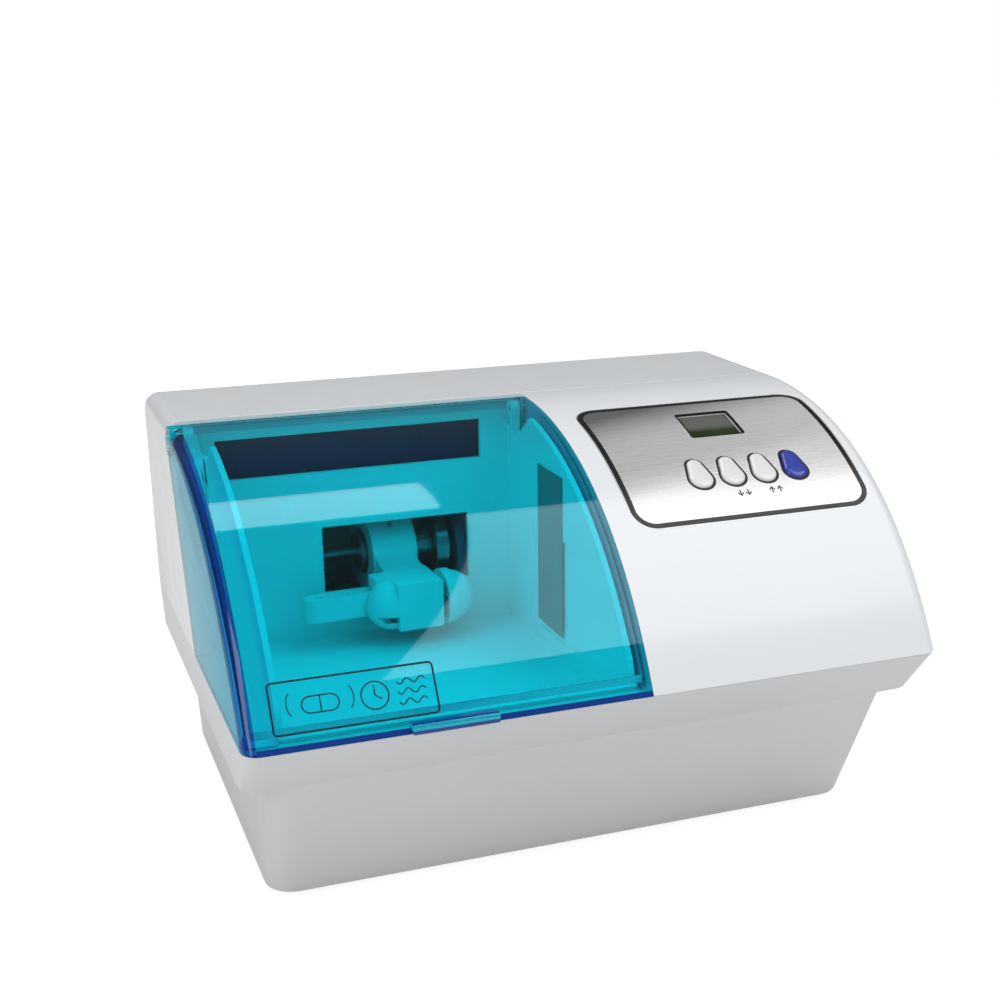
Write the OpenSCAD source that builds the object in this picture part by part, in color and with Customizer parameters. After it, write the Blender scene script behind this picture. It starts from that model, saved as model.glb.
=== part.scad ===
// Dental amalgamator: a bench-top capsule mixer with a tinted swing-up canopy.
// Millimetres, +Z up, front towards -Y. The origin is under the middle of the machine.
// Lengths named "from the rim" are measured backwards from the front rim.

/* [Body] */
// Overall width of the housing
body_w = 300; // [290:1:310]
// Depth from the front rim to the rear wall
body_d = 232; // [230:1:240]
// Height of the flat top
body_h = 180; // [178:1:184]
// Height of the seam between tub and shell
rim_z = 86; // [84:1:88]
// Wall of the moulded housing
wall = 2.8; // [2.4:0.1:3.2]
// Radius along the long edges of the shell
edge_r = 7; // [5:0.5:8]

/* [Curved front] */
// Crease between the curved front and the flat top, from the rim
crease_y = 154; // [152:1:156]
// Reach of the flat brow in front of the crease
brow_reach = 78; // [70:1:84]
// Place of the belly's handle, from the rim
belly_y = 27; // [22:1:30]
// Height of the belly's handle
belly_z = 138; // [132:1:142]
// Strips in the curved front
front_n = 22; // [16:1:26]

/* [Tub] */
// Step in from the rim band to the tub's sides
tub_inset = 11; // [9:0.5:13]
// Height of the rim band's lower edge
band_z = 63; // [60:1:66]
// How far the rim band rakes back at its lower edge
band_rake = 19; // [16:1:21]
// How far the tub's foot lies behind the rim
foot_rake = 46; // [42:1:50]
// Corner radius of the tub
tub_r = 13; // [10:1:16]
// Height of the rubber feet
foot_h = 3; // [2:0.5:4]

/* [Mixing chamber] */
// Right-hand edge of the canopy and chamber
split_x = 15; // [13:1:17]
// Height of the chamber floor
floor_z = 72; // [70:1:73]
// Thickness of the chamber's walls
liner_t = 2.4; // [2:0.1:2.8]
// Gap from the housing's side to the chamber's left wall, and from the canopy's edge to its right wall
liner_side_gap = 17; // [15:0.5:19]
liner_split_gap = 7; // [6.5:0.25:8]
// Arm window: left edge, right edge, lower edge, upper edge
window_x0 = -83; // [-86:1:-80]
window_x1 = -12.5; // [-15:0.5:-10]
window_z0 = 93; // [91:1:94]
window_z1 = 125; // [123:1:127]
// Vent slot under the crease: distance from the chamber's side walls
slot_side = 4; // [3:0.5:6]
slot_right = 13.5; // [12:0.5:16]
// Vent slot: lower edge, upper edge
slot_z0 = 151; // [149:1:153]
slot_z1 = 169; // [167:1:170]

/* [Canopy] */
// Thickness of the tinted canopy
lid_t = 2.4; // [2:0.1:2.8]
// Height of the hinge axis below the top
hinge_drop = 6.5; // [6:0.25:7]
// Radius of the hinge pins
hinge_pin_r = 1.5; // [1.25:0.05:1.75]
// Where the side plate's rear edge meets the rim, from the rim
side_foot_y = 112; // [106:1:118]
// Depth of the right-hand flange
flange_depth = 12; // [10:1:14]
// Thumb tab: left end, right end, reach
tab_x0 = -86; // [-90:1:-82]
tab_x1 = -51; // [-55:1:-47]
tab_reach = 3; // [2:0.5:4]

/* [Drive] */
// Shaft: place along X of the hub's middle
hub_x = -48; // [-50:1:-46]
// Shaft: distance from the rim
shaft_y = 180; // [179:1:181]
// Shaft: height
shaft_z = 104; // [103:1:105]
// Radius of the motor shaft
shaft_r = 3; // [2.5:0.25:3.5]
// Tilt of the skewed journal in degrees
skew = 4; // [3:0.5:4.5]
// Radius of the skewed journal
journal_r = 7; // [6.5:0.25:7.5]
// Radius and width of the ball bearings on the journal
bearing_r = 11; // [10.5:0.25:11.5]
bearing_w = 7; // [6:0.5:7.5]
// Radius of the motor can
motor_r = 24; // [22:1:26]
// Length of the motor can
motor_l = 62; // [56:1:66]

/* [Rocker arm] */
// Radius of the arm's hub
hub_r = 19; // [18:0.5:20]
// Width of the arm's hub
hub_w = 22; // [21:0.5:24]
// Height of the arm's flat top
arm_top_z = 102.5; // [102:0.5:103]
// Thickness of the arm in the window
arm_t = 5; // [4.5:0.25:5.5]
// Front face of the clip block, from the rim
block_y = 125; // [123:1:127]
// Height of the clip block
block_h = 22; // [20:0.5:23]
// Left and right faces of the clip block
block_x0 = -56.5; // [-58:0.5:-55]
block_x1 = -35; // [-36:0.5:-34]
// Radius of the domed cheeks
dome_r = 12; // [11:0.5:12.5]
// Left end of the sliding clip bar
bar_x0 = -96; // [-100:1:-92]
// Height and depth of the clip bar
bar_h = 10.5; // [9:0.5:11]
bar_d = 10; // [9:0.5:10.5]
// Gap between block and jaw at rest
jaw_gap = 3; // [2.5:0.25:4]
// Travel of the clip
clip_travel = 8; // [6:0.5:9]

/* [Control panel] */
// Left edge of the panel overlay, and its right margin to the housing's side
panel_x0 = 26; // [24:1:28]
panel_margin = 9; // [7:0.5:11]
// Where the overlay starts and ends along the curved front, as shares of it
panel_t0 = 0.155; // [0.15:0.005:0.17]
panel_t1 = 0.6; // [0.59:0.005:0.61]
// Thickness of the overlay
panel_t = 0.8; // [0.6:0.1:1]
// Button pitch and the first button's place
button_pitch = 15.4; // [15:0.1:16]
button_x0 = 65; // [63:1:67]
// Width of the round end, width of the narrow end and length of a button
button_r1 = 5.3; // [5:0.1:5.6]
button_r2 = 3.4; // [3:0.1:3.6]
button_l = 17; // [16:0.5:18]
// Button travel
button_travel = 0.8; // [0.5:0.1:1]
// Display window: left edge, width, length along the slope
lcd_x0 = 73; // [71:1:75]
lcd_w = 25; // [24:1:26]
lcd_l = 19.5; // [18:0.5:21]

/* [Fits] */
// Gap round a part that only has to clear its neighbour
gap = 0.4; // [0.3:0.05:0.5]
// Radial clearance of a running fit
run = 0.05; // [0.03:0.01:0.08]

/* [Hidden] */
$fn = 48;

rear_reach = 3;
front_y = -(body_d + rear_reach - tab_reach) / 2;
seam = 0.3;
half_w = body_w / 2;
rear_r = 9;
tub_bottom = foot_h / 2;

hinge_y = crease_y - hinge_drop - 0.6;
hinge_z = body_h - hinge_drop;
back_wall_y = crease_y + 0.6;

block_d = 24;
block_z0 = arm_top_z - block_h;
bar_y0 = block_y + 12.5;
bar_z0 = block_z0 + 5.5;
cheek_y = block_y + dome_r;
cheek_z = arm_top_z - dome_r;
jaw_x = block_x1 + jaw_gap;
thin_d = 4;

panel_x1 = half_w - panel_margin;

// A frame whose Y is measured back from the front rim
module from_rim() {
  translate([0, front_y, 0]) children();
}

// A point of the curved front: t is 0 at the crease and 1 at the rim
crease_pt = [crease_y, body_h];
brow_pt = [crease_y - brow_reach, body_h];
belly_pt = [belly_y, belly_z];
rim_pt = [0, rim_z + seam];
function front_pt(t) = pow(1 - t, 3) * crease_pt + 3 * pow(1 - t, 2) * t * brow_pt
  + 3 * (1 - t) * t * t * belly_pt + pow(t, 3) * rim_pt;
function front_dir(t) = let (d = pow(1 - t, 2) * (brow_pt - crease_pt)
  + 2 * (1 - t) * t * (belly_pt - brow_pt) + t * t * (rim_pt - belly_pt)) d / norm(d);
// The same point moved inwards by a depth
function front_in(t, depth) = let (d = front_dir(t)) front_pt(t) + depth * [-d[1], d[0]];
function front_run(depth, t0 = 0, t1 = 1, n = front_n) =
  [for (i = [0:n]) front_in(t0 + (t1 - t0) * i / n, depth)];
function arc(c, r, a0, a1, n = 6) =
  [for (i = [0:n]) c + r * [cos(a0 + (a1 - a0) * i / n), sin(a0 + (a1 - a0) * i / n)]];

// Slope of the curved front in degrees below the horizontal, towards the front
function slope_at(t) = let (d = front_dir(t)) atan2(-d[1], -d[0]);

// Extrudes a side profile, given in Y and Z, from x0 to x1
module across(x0, x1) {
  translate([x0, 0, 0]) rotate([90, 0, 90]) linear_extrude(x1 - x0) children();
}

// Children stand on the curved front at t, with Z outwards and Y up the slope
module on_front(x, t, depth = 0) {
  p = front_in(t, depth);
  translate([x, p[0], p[1]]) rotate([slope_at(t), 0, 0]) children();
}

// Side outline of the upper housing, moved inwards by a depth
module shell_side(depth, bottom) {
  polygon(concat(
    [front_in(1, depth) + [0, bottom - rim_pt[1]]],
    [for (i = [front_n:-1:0]) front_in(i / front_n, depth)],
    arc([body_d - rear_r, body_h - rear_r], rear_r - depth, 90, 0),
    [[body_d - depth, bottom]]
  ));
}

// A rounded rectangle in plan from y0 to y1, at one height
module plan_slab(half, y0, y1, r, z) {
  translate([0, 0, z]) linear_extrude(0.01) hull() {
    for (x = [-1, 1], y = [y0 + r, y1 - r]) translate([x * (half - r), y]) circle(r, $fn = 32);
  }
}

// One drafted layer of the tub between two plans
module tub_layer(half0, y0a, y0b, z0, half1, y1a, y1b, z1, r) {
  hull() {
    for (x = [-1, 1], e = [-1, 1]) {
      translate([x * (half0 - r), e < 0 ? y0a + r : y0b - r, z0]) cylinder(h = 0.01, r = r, $fn = 32);
      translate([x * (half1 - r), e < 0 ? y1a + r : y1b - r, z1 - 0.01])
        cylinder(h = 0.01, r = r, $fn = 32);
    }
  }
}

// A point on the chords of the curved front, so that laid-on parts follow its strips
function chord_in(t, depth) = let (i = min(front_n - 1, floor(t * front_n)), f = t * front_n - i)
  (1 - f) * front_in(i / front_n, depth) + f * front_in((i + 1) / front_n, depth);
function strip_run(depth, t0, t1) = concat(
  [chord_in(t0, depth)],
  [for (i = [ceil(t0 * front_n + 0.01):floor(t1 * front_n - 0.01)]) front_in(i / front_n, depth)],
  [chord_in(t1, depth)]
);
function reversed(list) = [for (i = [len(list) - 1:-1:0]) list[i]];

// A sheet that follows the curved front between two depths
module front_sheet(d0, d1, t0, t1) {
  polygon(concat(strip_run(d0, t0, t1), reversed(strip_run(d1, t0, t1))));
}

// The outer skin with rounded side edges, moved inwards by a depth
module skin(depth, r, bottom) {
  hull() for (a = [0:22.5:90]) {
    x = half_w - depth - r + r * sin(a);
    across(-x, x) shell_side(depth + r - r * cos(a), bottom);
  }
}

// The slanted line behind the canopy's side plate, moved rearwards by a gap
foot_pt = [side_foot_y, rim_z + seam];
axle_pt = [hinge_y, hinge_z];
slant = (axle_pt - foot_pt) / norm(axle_pt - foot_pt);
function slant_pt(s, off) = foot_pt + s * slant + off * [slant[1], -slant[0]];
slant_l = norm(axle_pt - foot_pt);

// Side view of the room that the canopy takes, grown by a gap
module canopy_side(g) {
  polygon([[-30, 40], slant_pt(-45, g), slant_pt(slant_l, g), axle_pt + [0, 30], [-30, body_h + 30]]);
  translate(axle_pt) circle(hinge_drop + g);
  translate([hinge_y - 1, hinge_z]) square([hinge_drop + 1 + g, 30]);
}

post_x = half_w - tub_inset - 15;
rear_post_y = body_d - wall - 15.2;
front_post_y = 66;
liner_post_x = split_x - 21;

// Screw places: those that reach the shell and those that reach the chamber
shell_posts = [[-post_x, rear_post_y], [post_x, rear_post_y], [post_x, front_post_y]];
liner_posts = [[-post_x, front_post_y], [liner_post_x, front_post_y]];
feet_x = half_w - tub_inset - 27;
feet_front = foot_rake + 32;
feet_rear = body_d - 28;
feet = [for (x = [-feet_x, feet_x], y = [feet_front, feet_rear]) [x, y]];
bulkhead = [14, 17];
mount_x = [-72, bulkhead[1] + motor_l + 8];
mount_y = [crease_y + 12, body_d - 27];
plate_z = 74;
plate_t = 3;

inlet_x = 51 - half_w;
trafo_x = 8;
trafo_y = body_d - 84;
core_w = 48;
core_d = 24;
core_h = 38;
coil_w = 36;
coil_d = 48;
coil_h = 26;
strap_w = 64;
switch_x = -36;
fuse_x = 4;
rear_z = 36;

module place_posts(list) {
  for (p = list) translate([p[0], p[1], 0]) children();
}

module base_tub() {
  color("lightgray") from_rim() difference() {
    union() {
      difference() {
        union() {
          tub_layer(half_w - 1, band_rake, body_d, band_z, half_w, 0, body_d, rim_z, edge_r);
          tub_layer(half_w - tub_inset - 3, foot_rake, body_d, tub_bottom,
            half_w - tub_inset, band_rake, body_d, band_z + 1, tub_r);
        }
        tub_layer(half_w - 1 - wall, band_rake + 1.2 * wall, body_d - wall, band_z + wall,
          half_w - wall, 1.2 * wall - 2, body_d - wall, rim_z + 1, edge_r - wall);
        tub_layer(half_w - tub_inset - 3 - wall, foot_rake + wall, body_d - wall, tub_bottom + wall,
          half_w - tub_inset - wall, band_rake + wall, body_d - wall, band_z + wall + 1, tub_r - wall);
      }
      place_posts(shell_posts) translate([0, 0, tub_bottom + 1]) cylinder(h = rim_z - tub_bottom - 1, r = 5);
      place_posts(liner_posts) translate([0, 0, tub_bottom + 1]) cylinder(h = floor_z - 13 - tub_bottom, r = 5);
      for (x = mount_x, y = mount_y) translate([x, y, tub_bottom + 1])
        cylinder(h = plate_z - 4 - tub_bottom - 1, r = 5);
      for (e = [-1, 1]) translate([trafo_x + e * strap_w / 2, trafo_y, tub_bottom + 1]) cylinder(h = 7, r = 4);
      place_posts(feet) translate([0, 0, tub_bottom + 0.5]) cylinder(h = 4, r = 11);
    }
    place_posts(concat(shell_posts, liner_posts)) {
      translate([0, 0, -1]) cylinder(h = 14, r = 3.6);
      cylinder(h = rim_z + 1, r = 1.9);
    }
    for (x = mount_x, y = mount_y) translate([x, y, 50]) cylinder(h = 40, r = 1.5);
    for (e = [-1, 1]) translate([trafo_x + e * strap_w / 2, trafo_y, tub_bottom + 3]) cylinder(h = 9, r = 1.3);
    place_posts(feet) translate([0, 0, -1]) cylinder(h = foot_h + 1, r = 9 + run);
    translate([inlet_x - 13.7, body_d - 10, rear_z - 10.2]) cube([27.4, 20, 20.4]);
    for (e = [-1, 1]) translate([inlet_x + e * 20, body_d + 1, rear_z]) rotate([90, 0, 0]) cylinder(h = 8, r = 1.5);
    translate([switch_x - 13.5, body_d - 10, rear_z - 9.5]) cube([27, 20, 19]);
    translate([fuse_x, body_d + 1, rear_z]) rotate([90, 0, 0]) cylinder(h = 8, r = 6.2);
    for (x = [52:6:112]) translate([x - 1.25, body_d - 6, 22]) cube([2.5, 10, 34]);
  }
}

module top_shell() {
  color("white") from_rim() {
    difference() {
      skin(0, edge_r, 60);
      difference() {
        skin(wall, edge_r - wall, 50);
        // What stays solid: the partition beside the canopy and the slanted cheek
        across(split_x, split_x + wall) polygon([[-10, 40], [back_wall_y, 40], [back_wall_y, 200], [-10, 200]]);
        across(-half_w, split_x) polygon([[-20, 40], slant_pt(-50, 0.5 + wall), slant_pt(slant_l, 0.5 + wall),
          [hinge_y + hinge_drop, 200], [-20, 200]]);
      }
      across(-half_w - 1, split_x) canopy_side(0.5);
      // The chamber's own room
      across(2 - half_w + 12, split_x) polygon([[-20, 40], [crease_y + 10, 40],
        [crease_y + 10, body_h - wall], [crease_y, body_h - wall], [crease_y, 200], [-20, 200]]);
      translate([-half_w - 5, -20, 0]) cube([body_w + 10, body_d + 40, rim_z + seam]);
      // Fine double groove along the crease
      translate([-half_w - 1, crease_y + 2, body_h - 0.7]) cube([body_w + 2, 1.6, 2]);
      // Recess and openings of the panel
      panel_patch(-3, panel_t + 0.15, 0.1);
      for (i = [0:3]) on_front(button_x0 + i * button_pitch, button_t) translate([0, 0, -9])
        linear_extrude(12) teardrop(gap);
      on_front(lcd_x0 + lcd_w / 2, lcd_t) {
        translate([-lcd_w / 2, -lcd_l / 2, -9]) cube([lcd_w, lcd_l, 12]);
        translate([-lcd_w / 2 - 1.7, -lcd_l / 2 - 1.7, -9]) cube([lcd_w + 3.4, lcd_l + 3.4, 7.3]);
      }
      // Vents in the rear wall
      for (x = [40:8:120]) translate([x - 1.5, body_d - 5, 112]) cube([3, 10, 40]);
      // Room for the neck of the left-hand hinge lug
      translate([lug_xl - 0.4, hinge_y - lug_r - 0.4, hinge_z - 10]) cube([4.8, back_wall_y + 1.4 - hinge_y + lug_r, 9]);
      translate([split_x - 1, crease_y - 26, body_h - 11]) rotate([0, 90, 0]) cylinder(h = 6, r = 1.7);
    }
    difference() {
      union() {
        place_posts([for (x = [-post_x, post_x]) [x, rear_post_y]]) translate([0, 0, rim_z + seam])
          cylinder(h = body_h - rim_z - 1.5, r = 5);
        for (e = [-1, 1]) translate([e * post_x - 1.25, rear_post_y + 3, rim_z + 8])
          cube([2.5, body_d - rear_post_y - 4, body_h - rim_z - 18]);
        place_posts([[post_x, front_post_y]]) translate([0, 0, rim_z + seam]) {
          cylinder(h = 40, r = 5);
          translate([0, -1.25, 6]) cube([half_w - post_x - 1.5, 2.5, 34]);
        }
        for (x = [-32.5, 32.5], y = [-8, 8]) on_front(board_x + x, button_t) translate([0, y, board_top])
          cylinder(h = -board_top - 1.6, r = 2.4);
        for (x = [-15.6, 15.6]) on_front(lcd_x0 + lcd_w / 2 + x, lcd_t) translate([0, 0, -4.4])
          cylinder(h = 2.4, r = 1.6);
      }
      place_posts(shell_posts) translate([0, 0, rim_z - 1]) cylinder(h = 20, r = 1.6);
      for (x = [-32.5, 32.5], y = [-8, 8]) on_front(board_x + x, button_t) translate([0, y, board_top - 1])
        cylinder(h = 7, r = 1.05);
    }
  }
}

button_t = 0.45;
lcd_t = 0.268;
board_x = button_x0 + 1.5 * button_pitch;
board_top = -10.6;

// A teardrop with its round end towards the front, grown by g
module teardrop(g = 0) {
  r1 = button_r1 + g;
  r2 = button_r2 + g;
  d = button_l - button_r1 - button_r2;
  s = (r1 - r2) / d;
  c = sqrt(1 - s * s);
  y1 = -button_l / 2 + button_r1;
  translate([0, y1]) circle(r1);
  translate([0, y1 + d]) circle(r2);
  polygon([[r1 * c, y1 + r1 * s], [r2 * c, y1 + d + r2 * s], [-r2 * c, y1 + d + r2 * s], [-r1 * c, y1 + r1 * s]]);
}

// The overlay's own room on the curved front, with rounded corners
module panel_patch(d0, d1, g) {
  r = 5;
  difference() {
    across(panel_x0 - g, panel_x1 + g) front_sheet(d0, d1, panel_t0 - g / 190, panel_t1 + g / 190);
    for (sx = [0, 1], st = [0, 1]) on_front(sx == 0 ? panel_x0 - g : panel_x1 + g, st == 0 ? panel_t0 - g / 190 : panel_t1 + g / 190)
      mirror([sx, 0, 0]) mirror([0, 1 - st, 0]) translate([0, 0, -3]) difference() {
        translate([-1, -1, 0]) cube([r + 1, r + 1, 7]);
        translate([r, r, -1]) cylinder(h = 9, r = r);
      }
  }
}

module control_overlay() {
  color("silver") from_rim() difference() {
    panel_patch(0, panel_t, 0);
    for (i = [0:3]) on_front(button_x0 + i * button_pitch, button_t) translate([0, 0, -4])
      linear_extrude(8) teardrop(gap);
    on_front(lcd_x0 + lcd_w / 2, lcd_t) translate([-lcd_w / 2, -lcd_l / 2, -5]) cube([lcd_w, lcd_l, 9]);
  }
}

module display_lens() {
  color("darkolivegreen") from_rim() on_front(lcd_x0 + lcd_w / 2, lcd_t)
    translate([-lcd_w / 2 - 1.5, -lcd_l / 2 - 1.5, -3.2]) cube([lcd_w + 3, lcd_l + 3, 1.4]);
}

module display_module() {
  color("seagreen") from_rim() on_front(lcd_x0 + lcd_w / 2, lcd_t) {
    translate([-lcd_w / 2 - 5.5, -lcd_l / 2 - 3.5, -8.4]) cube([lcd_w + 11, lcd_l + 7, 1.6]);
    translate([-lcd_w / 2 - 1, -lcd_l / 2 - 1, -7]) cube([lcd_w + 2, lcd_l + 2, 3.7]);
    for (x = [-15.6, 15.6]) translate([x, 0, -7]) cylinder(h = 2.5, r = 1.6);
  }
}

module control_board() {
  color("darkgreen") from_rim() on_front(board_x, button_t) translate([0, 0, board_top - 1.7]) difference() {
    union() {
      translate([-35.5, -11.5, 0]) cube([71, 23, 1.6]);
      translate([-22, -9, -8]) cube([9, 18, 8.2]);
      translate([4, -6, -4]) cube([14, 12, 4.2]);
    }
    for (x = [-32.5, 32.5], y = [-8, 8]) translate([x, y, -1]) cylinder(h = 4, r = 1.3);
  }
}

module board_screws() {
  color("silver") from_rim() on_front(board_x, button_t) for (x = [-32.5, 32.5], y = [-8, 8]) {
    translate([x, y, board_top - 3.2]) cylinder(h = 1.4, r = 2.1);
    translate([x, y, board_top - 2]) cylinder(h = 6, r = 1);
  }
}

module tact_switches() {
  color("dimgray") from_rim() for (i = [0:3]) on_front(button_x0 + i * button_pitch, button_t) {
    translate([-3, -3, board_top]) cube([6, 6, 3.4]);
    translate([0, 0, board_top + 3]) cylinder(h = 1.6, r = 1.7);
  }
}

// One button, seen from outside: cap, retaining flange under the shell, and stem
module button(i, shade) {
  color(shade) from_rim() on_front(button_x0 + i * button_pitch, button_t) {
    translate([0, 0, -4.6]) linear_extrude(5.8) teardrop(0);
    translate([0, 0, -4.6]) linear_extrude(1.2) teardrop(1.3);
    translate([0, 0, board_top + 4.6 + button_travel + 0.1]) cylinder(h = 2.5, r = 2);
  }
}

module button_mode() {
  button(0, "whitesmoke");
}

module button_down() {
  button(1, "whitesmoke");
}

module button_up() {
  button(2, "whitesmoke");
}

module button_start() {
  button(3, "royalblue");
}

liner_x0 = liner_side_gap - half_w;
liner_x1 = split_x - liner_split_gap;
slot_x0 = liner_x0 + slot_side;
slot_x1 = liner_x1 - slot_right;

// Side outline of a chamber wall under the canopy
module liner_side(depth) {
  polygon(concat(
    [for (i = [3:front_n - 2]) front_in(i / front_n, depth)],
    [[8.4, rim_z + 2.2], [19.6, floor_z - liner_t], [back_wall_y + liner_t, floor_z - liner_t],
      [back_wall_y + liner_t, 164], [hinge_y - 8, 164]]
  ));
}

lug_r = 3.4;
plate_x = -half_w + 6.6;
lug_xl = plate_x + 0.4;
knuckle_xr = 11;
lug_xr = knuckle_xr - 0.4;

module hinge_lug(x0, x1) {
  translate([x0, 0, 0]) {
    translate([0, hinge_y, hinge_z]) rotate([0, 90, 0]) cylinder(h = x1 - x0, r = lug_r);
    // A neck that passes below the path of the canopy's rolled edge
    translate([0, hinge_y - lug_r, hinge_z - 9.6]) cube([x1 - x0, lug_r - 0.8, 9.6]);
    translate([0, hinge_y - lug_r, hinge_z - 9.6]) cube([x1 - x0, back_wall_y + 1 - hinge_y + lug_r, 2.6]);
  }
}

module chamber_liner() {
  t = liner_t;
  color("white") from_rim() difference() {
    union() {
      // Floor with the raked front wall
      across(liner_x0 - t, liner_x1 + t) polygon([[8, rim_z + 2.2], [19.6, floor_z - t],
        [back_wall_y + t, floor_z - t], [back_wall_y + t, floor_z], [21.1, floor_z], [10.4, rim_z + 2.2]]);
      // Side walls
      across(liner_x0 - t, liner_x0) liner_side(4.4);
      across(liner_x1, liner_x1 + t) liner_side(4.4);
      // Back wall
      translate([0.2 - half_w + wall, back_wall_y, rim_z - 2.4]) cube([20, t, body_h - wall - 6 - rim_z + 2.4]);
      translate([8 - half_w, back_wall_y, rim_z - 2.4])
        cube([half_w + split_x - 8.2, t, body_h - wall - 0.3 - rim_z + 2.4]);
      translate([liner_x0 - t, back_wall_y, floor_z - t]) cube([liner_x1 - liner_x0 + 2 * t, t, 20]);
      // Ledge at the rim round the chamber
      translate([0.3 - half_w + wall, 9.5, rim_z - 2.4]) cube([liner_x0 + half_w - wall - 0.6, 145.5, 2.4]);
      translate([liner_x1 + 0.5, 6, rim_z - 2.4]) cube([split_x - liner_x1 - 0.8, 149, 2.4]);
      translate([liner_x0 - t, 6, rim_z - 2.4]) cube([liner_x1 - liner_x0 + 2 * t, 5, 2.4]);
      hinge_lug(lug_xl, lug_xl + 4);
      hinge_lug(lug_xr - 4, lug_xr);
      place_posts(liner_posts) translate([0, 0, floor_z - 11.6]) cylinder(h = 11, r = 5);
    }
    // Arm window and vent slot
    translate([window_x0, back_wall_y - 1, window_z0]) cube([window_x1 - window_x0, t + 2, window_z1 - window_z0]);
    translate([slot_x0, back_wall_y - 1, slot_z0]) cube([slot_x1 - slot_x0, t + 2, slot_z1 - slot_z0]);
    // Shallow panel in the right-hand wall
    translate([liner_x1 - 1, 60, floor_z + 8]) cube([2, 62, 48]);
    translate([-half_w, hinge_y, hinge_z]) rotate([0, 90, 0]) cylinder(h = 200, r = hinge_pin_r);
    place_posts(liner_posts) translate([0, 0, floor_z - 12]) cylinder(h = 9, r = 1.6);
  }
}

module rubber_feet() {
  color("black") from_rim() place_posts(feet) difference() {
    cylinder(h = foot_h - 0.1, r = 9);
    translate([0, 0, -1]) cylinder(h = 2, r = 4);
  }
}

module case_screws() {
  color("silver") from_rim() {
    place_posts(shell_posts) {
      translate([0, 0, 10.6]) cylinder(h = 2.3, r = 3.2);
      translate([0, 0, 12]) cylinder(h = rim_z + 4, r = 1.55);
    }
    place_posts(liner_posts) {
      translate([0, 0, 10.6]) cylinder(h = 2.3, r = 3.2);
      translate([0, 0, 12]) cylinder(h = floor_z - 17, r = 1.55);
    }
  }
}

module lid_canopy() {
  g = seam;
  color("deepskyblue") from_rim() difference() {
    union() {
      intersection() {
        difference() {
          skin(0, edge_r, 60);
          difference() {
            skin(lid_t, edge_r - lid_t, 50);
            // Thick front lip and rolled rear edge
            across(-half_w, split_x) polygon(concat(strip_run(0, 0.955, 1), reversed(strip_run(5.4, 0.955, 1))));
            across(lug_xl + 4.4, lug_xr - 4.4) translate([hinge_y, hinge_z]) difference() {
              circle(hinge_drop + 0.1);
              circle(hinge_drop - lid_t);
              translate([-20, -20]) square([20, 40]);
              translate([-20, -20]) square([40, 20]);
            }
            // Flange on the right
            across(split_x - 2.6, split_x) difference() {
              shell_side(0, 50);
              shell_side(flange_depth, 50);
            }
            across(knuckle_xr, split_x) translate([hinge_y, hinge_z]) circle(hinge_drop + 0.1);
            across(-half_w, plate_x) translate([hinge_y, hinge_z]) circle(hinge_drop + 0.1);
          }
        }
        across(-half_w - 1, split_x - seam) difference() {
          intersection() {
            canopy_side(0);
            translate([-20, rim_z + seam]) square([300, 200]);
          }
          translate([hinge_y, hinge_z]) difference() {
            square([30, 30]);
            circle(hinge_drop);
          }
        }
      }
      translate([tab_x0, -tab_reach, rim_z + 0.6]) cube([tab_x1 - tab_x0, tab_reach + 2, 4.2]);
    }
    translate([-half_w + 1.2, hinge_y, hinge_z]) rotate([0, 90, 0]) cylinder(h = half_w + split_x - 2, r = hinge_pin_r + run);
    // Room for the lugs
    for (x = [lug_xl - 0.4, lug_xr - 4.4]) translate([x, hinge_y, hinge_z - 20]) cube([4.8, 20, 20 + hinge_drop - lid_t - 0.01]);
  }
}

module hinge_pins() {
  color("silver") from_rim() for (x = [[1.3 - half_w, lug_xl + 3.6], [lug_xr - 3.6, split_x - 0.9]])
    translate([x[0], hinge_y, hinge_z]) rotate([0, 90, 0]) cylinder(h = x[1] - x[0], r = hinge_pin_r);
}

module lid_switch() {
  color("black") from_rim() {
    translate([split_x + wall + 0.1, crease_y - 36, body_h - 18]) cube([6.4, 20, 9.5]);
    translate([split_x - 0.1, crease_y - 26, body_h - 11]) rotate([0, 90, 0]) cylinder(h = 5, r = 1.3);
  }
}

cheek_l = [-86, -82];
cheek_r = [-14.5, -10.5];
plate_y = [crease_y + liner_t + 2.1, body_d - 13];
plate_x0 = -92;
plate_x1 = mount_x[1] + 10;

// Upright plate of the chassis that carries the shaft
module cheek(x0, x1, half, top) {
  across(x0, x1) {
    translate([shaft_y - half, plate_z + plate_t - 0.5]) square([2 * half, shaft_z - plate_z - plate_t]);
    translate([shaft_y, shaft_z - 0.5]) circle(half);
  }
}

module chassis_frame() {
  color("gray") from_rim() difference() {
    union() {
      translate([plate_x0, plate_y[0], plate_z]) cube([plate_x1 - plate_x0, plate_y[1] - plate_y[0], plate_t]);
      cheek(cheek_l[0], cheek_l[1], 14, 12);
      cheek(cheek_r[0], cheek_r[1], 14, 12);
      translate([bulkhead[0], plate_y[0] + 0.5, plate_z + 1]) cube([bulkhead[1] - bulkhead[0], 45, 56]);
      translate([plate_x0, plate_y[1] - 2.5, plate_z + 1]) cube([plate_x1 - plate_x0, 2.5, 9]);
    }
    for (x = mount_x, y = mount_y) translate([x, y, plate_z - 1]) cylinder(h = plate_t + 2, r = 3.6 + gap / 2);
    translate([-100, shaft_y, shaft_z]) rotate([0, 90, 0]) cylinder(h = 95, r = 8 + run);
    translate([0, shaft_y, shaft_z]) rotate([0, 90, 0]) cylinder(h = 30, r = 9.4);
    for (a = [45:90:315]) translate([10, shaft_y, shaft_z]) rotate([a, 0, 0]) translate([0, 0, 16])
      rotate([0, 90, 0]) cylinder(h = 10, r = 1.6);
  }
}

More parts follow.
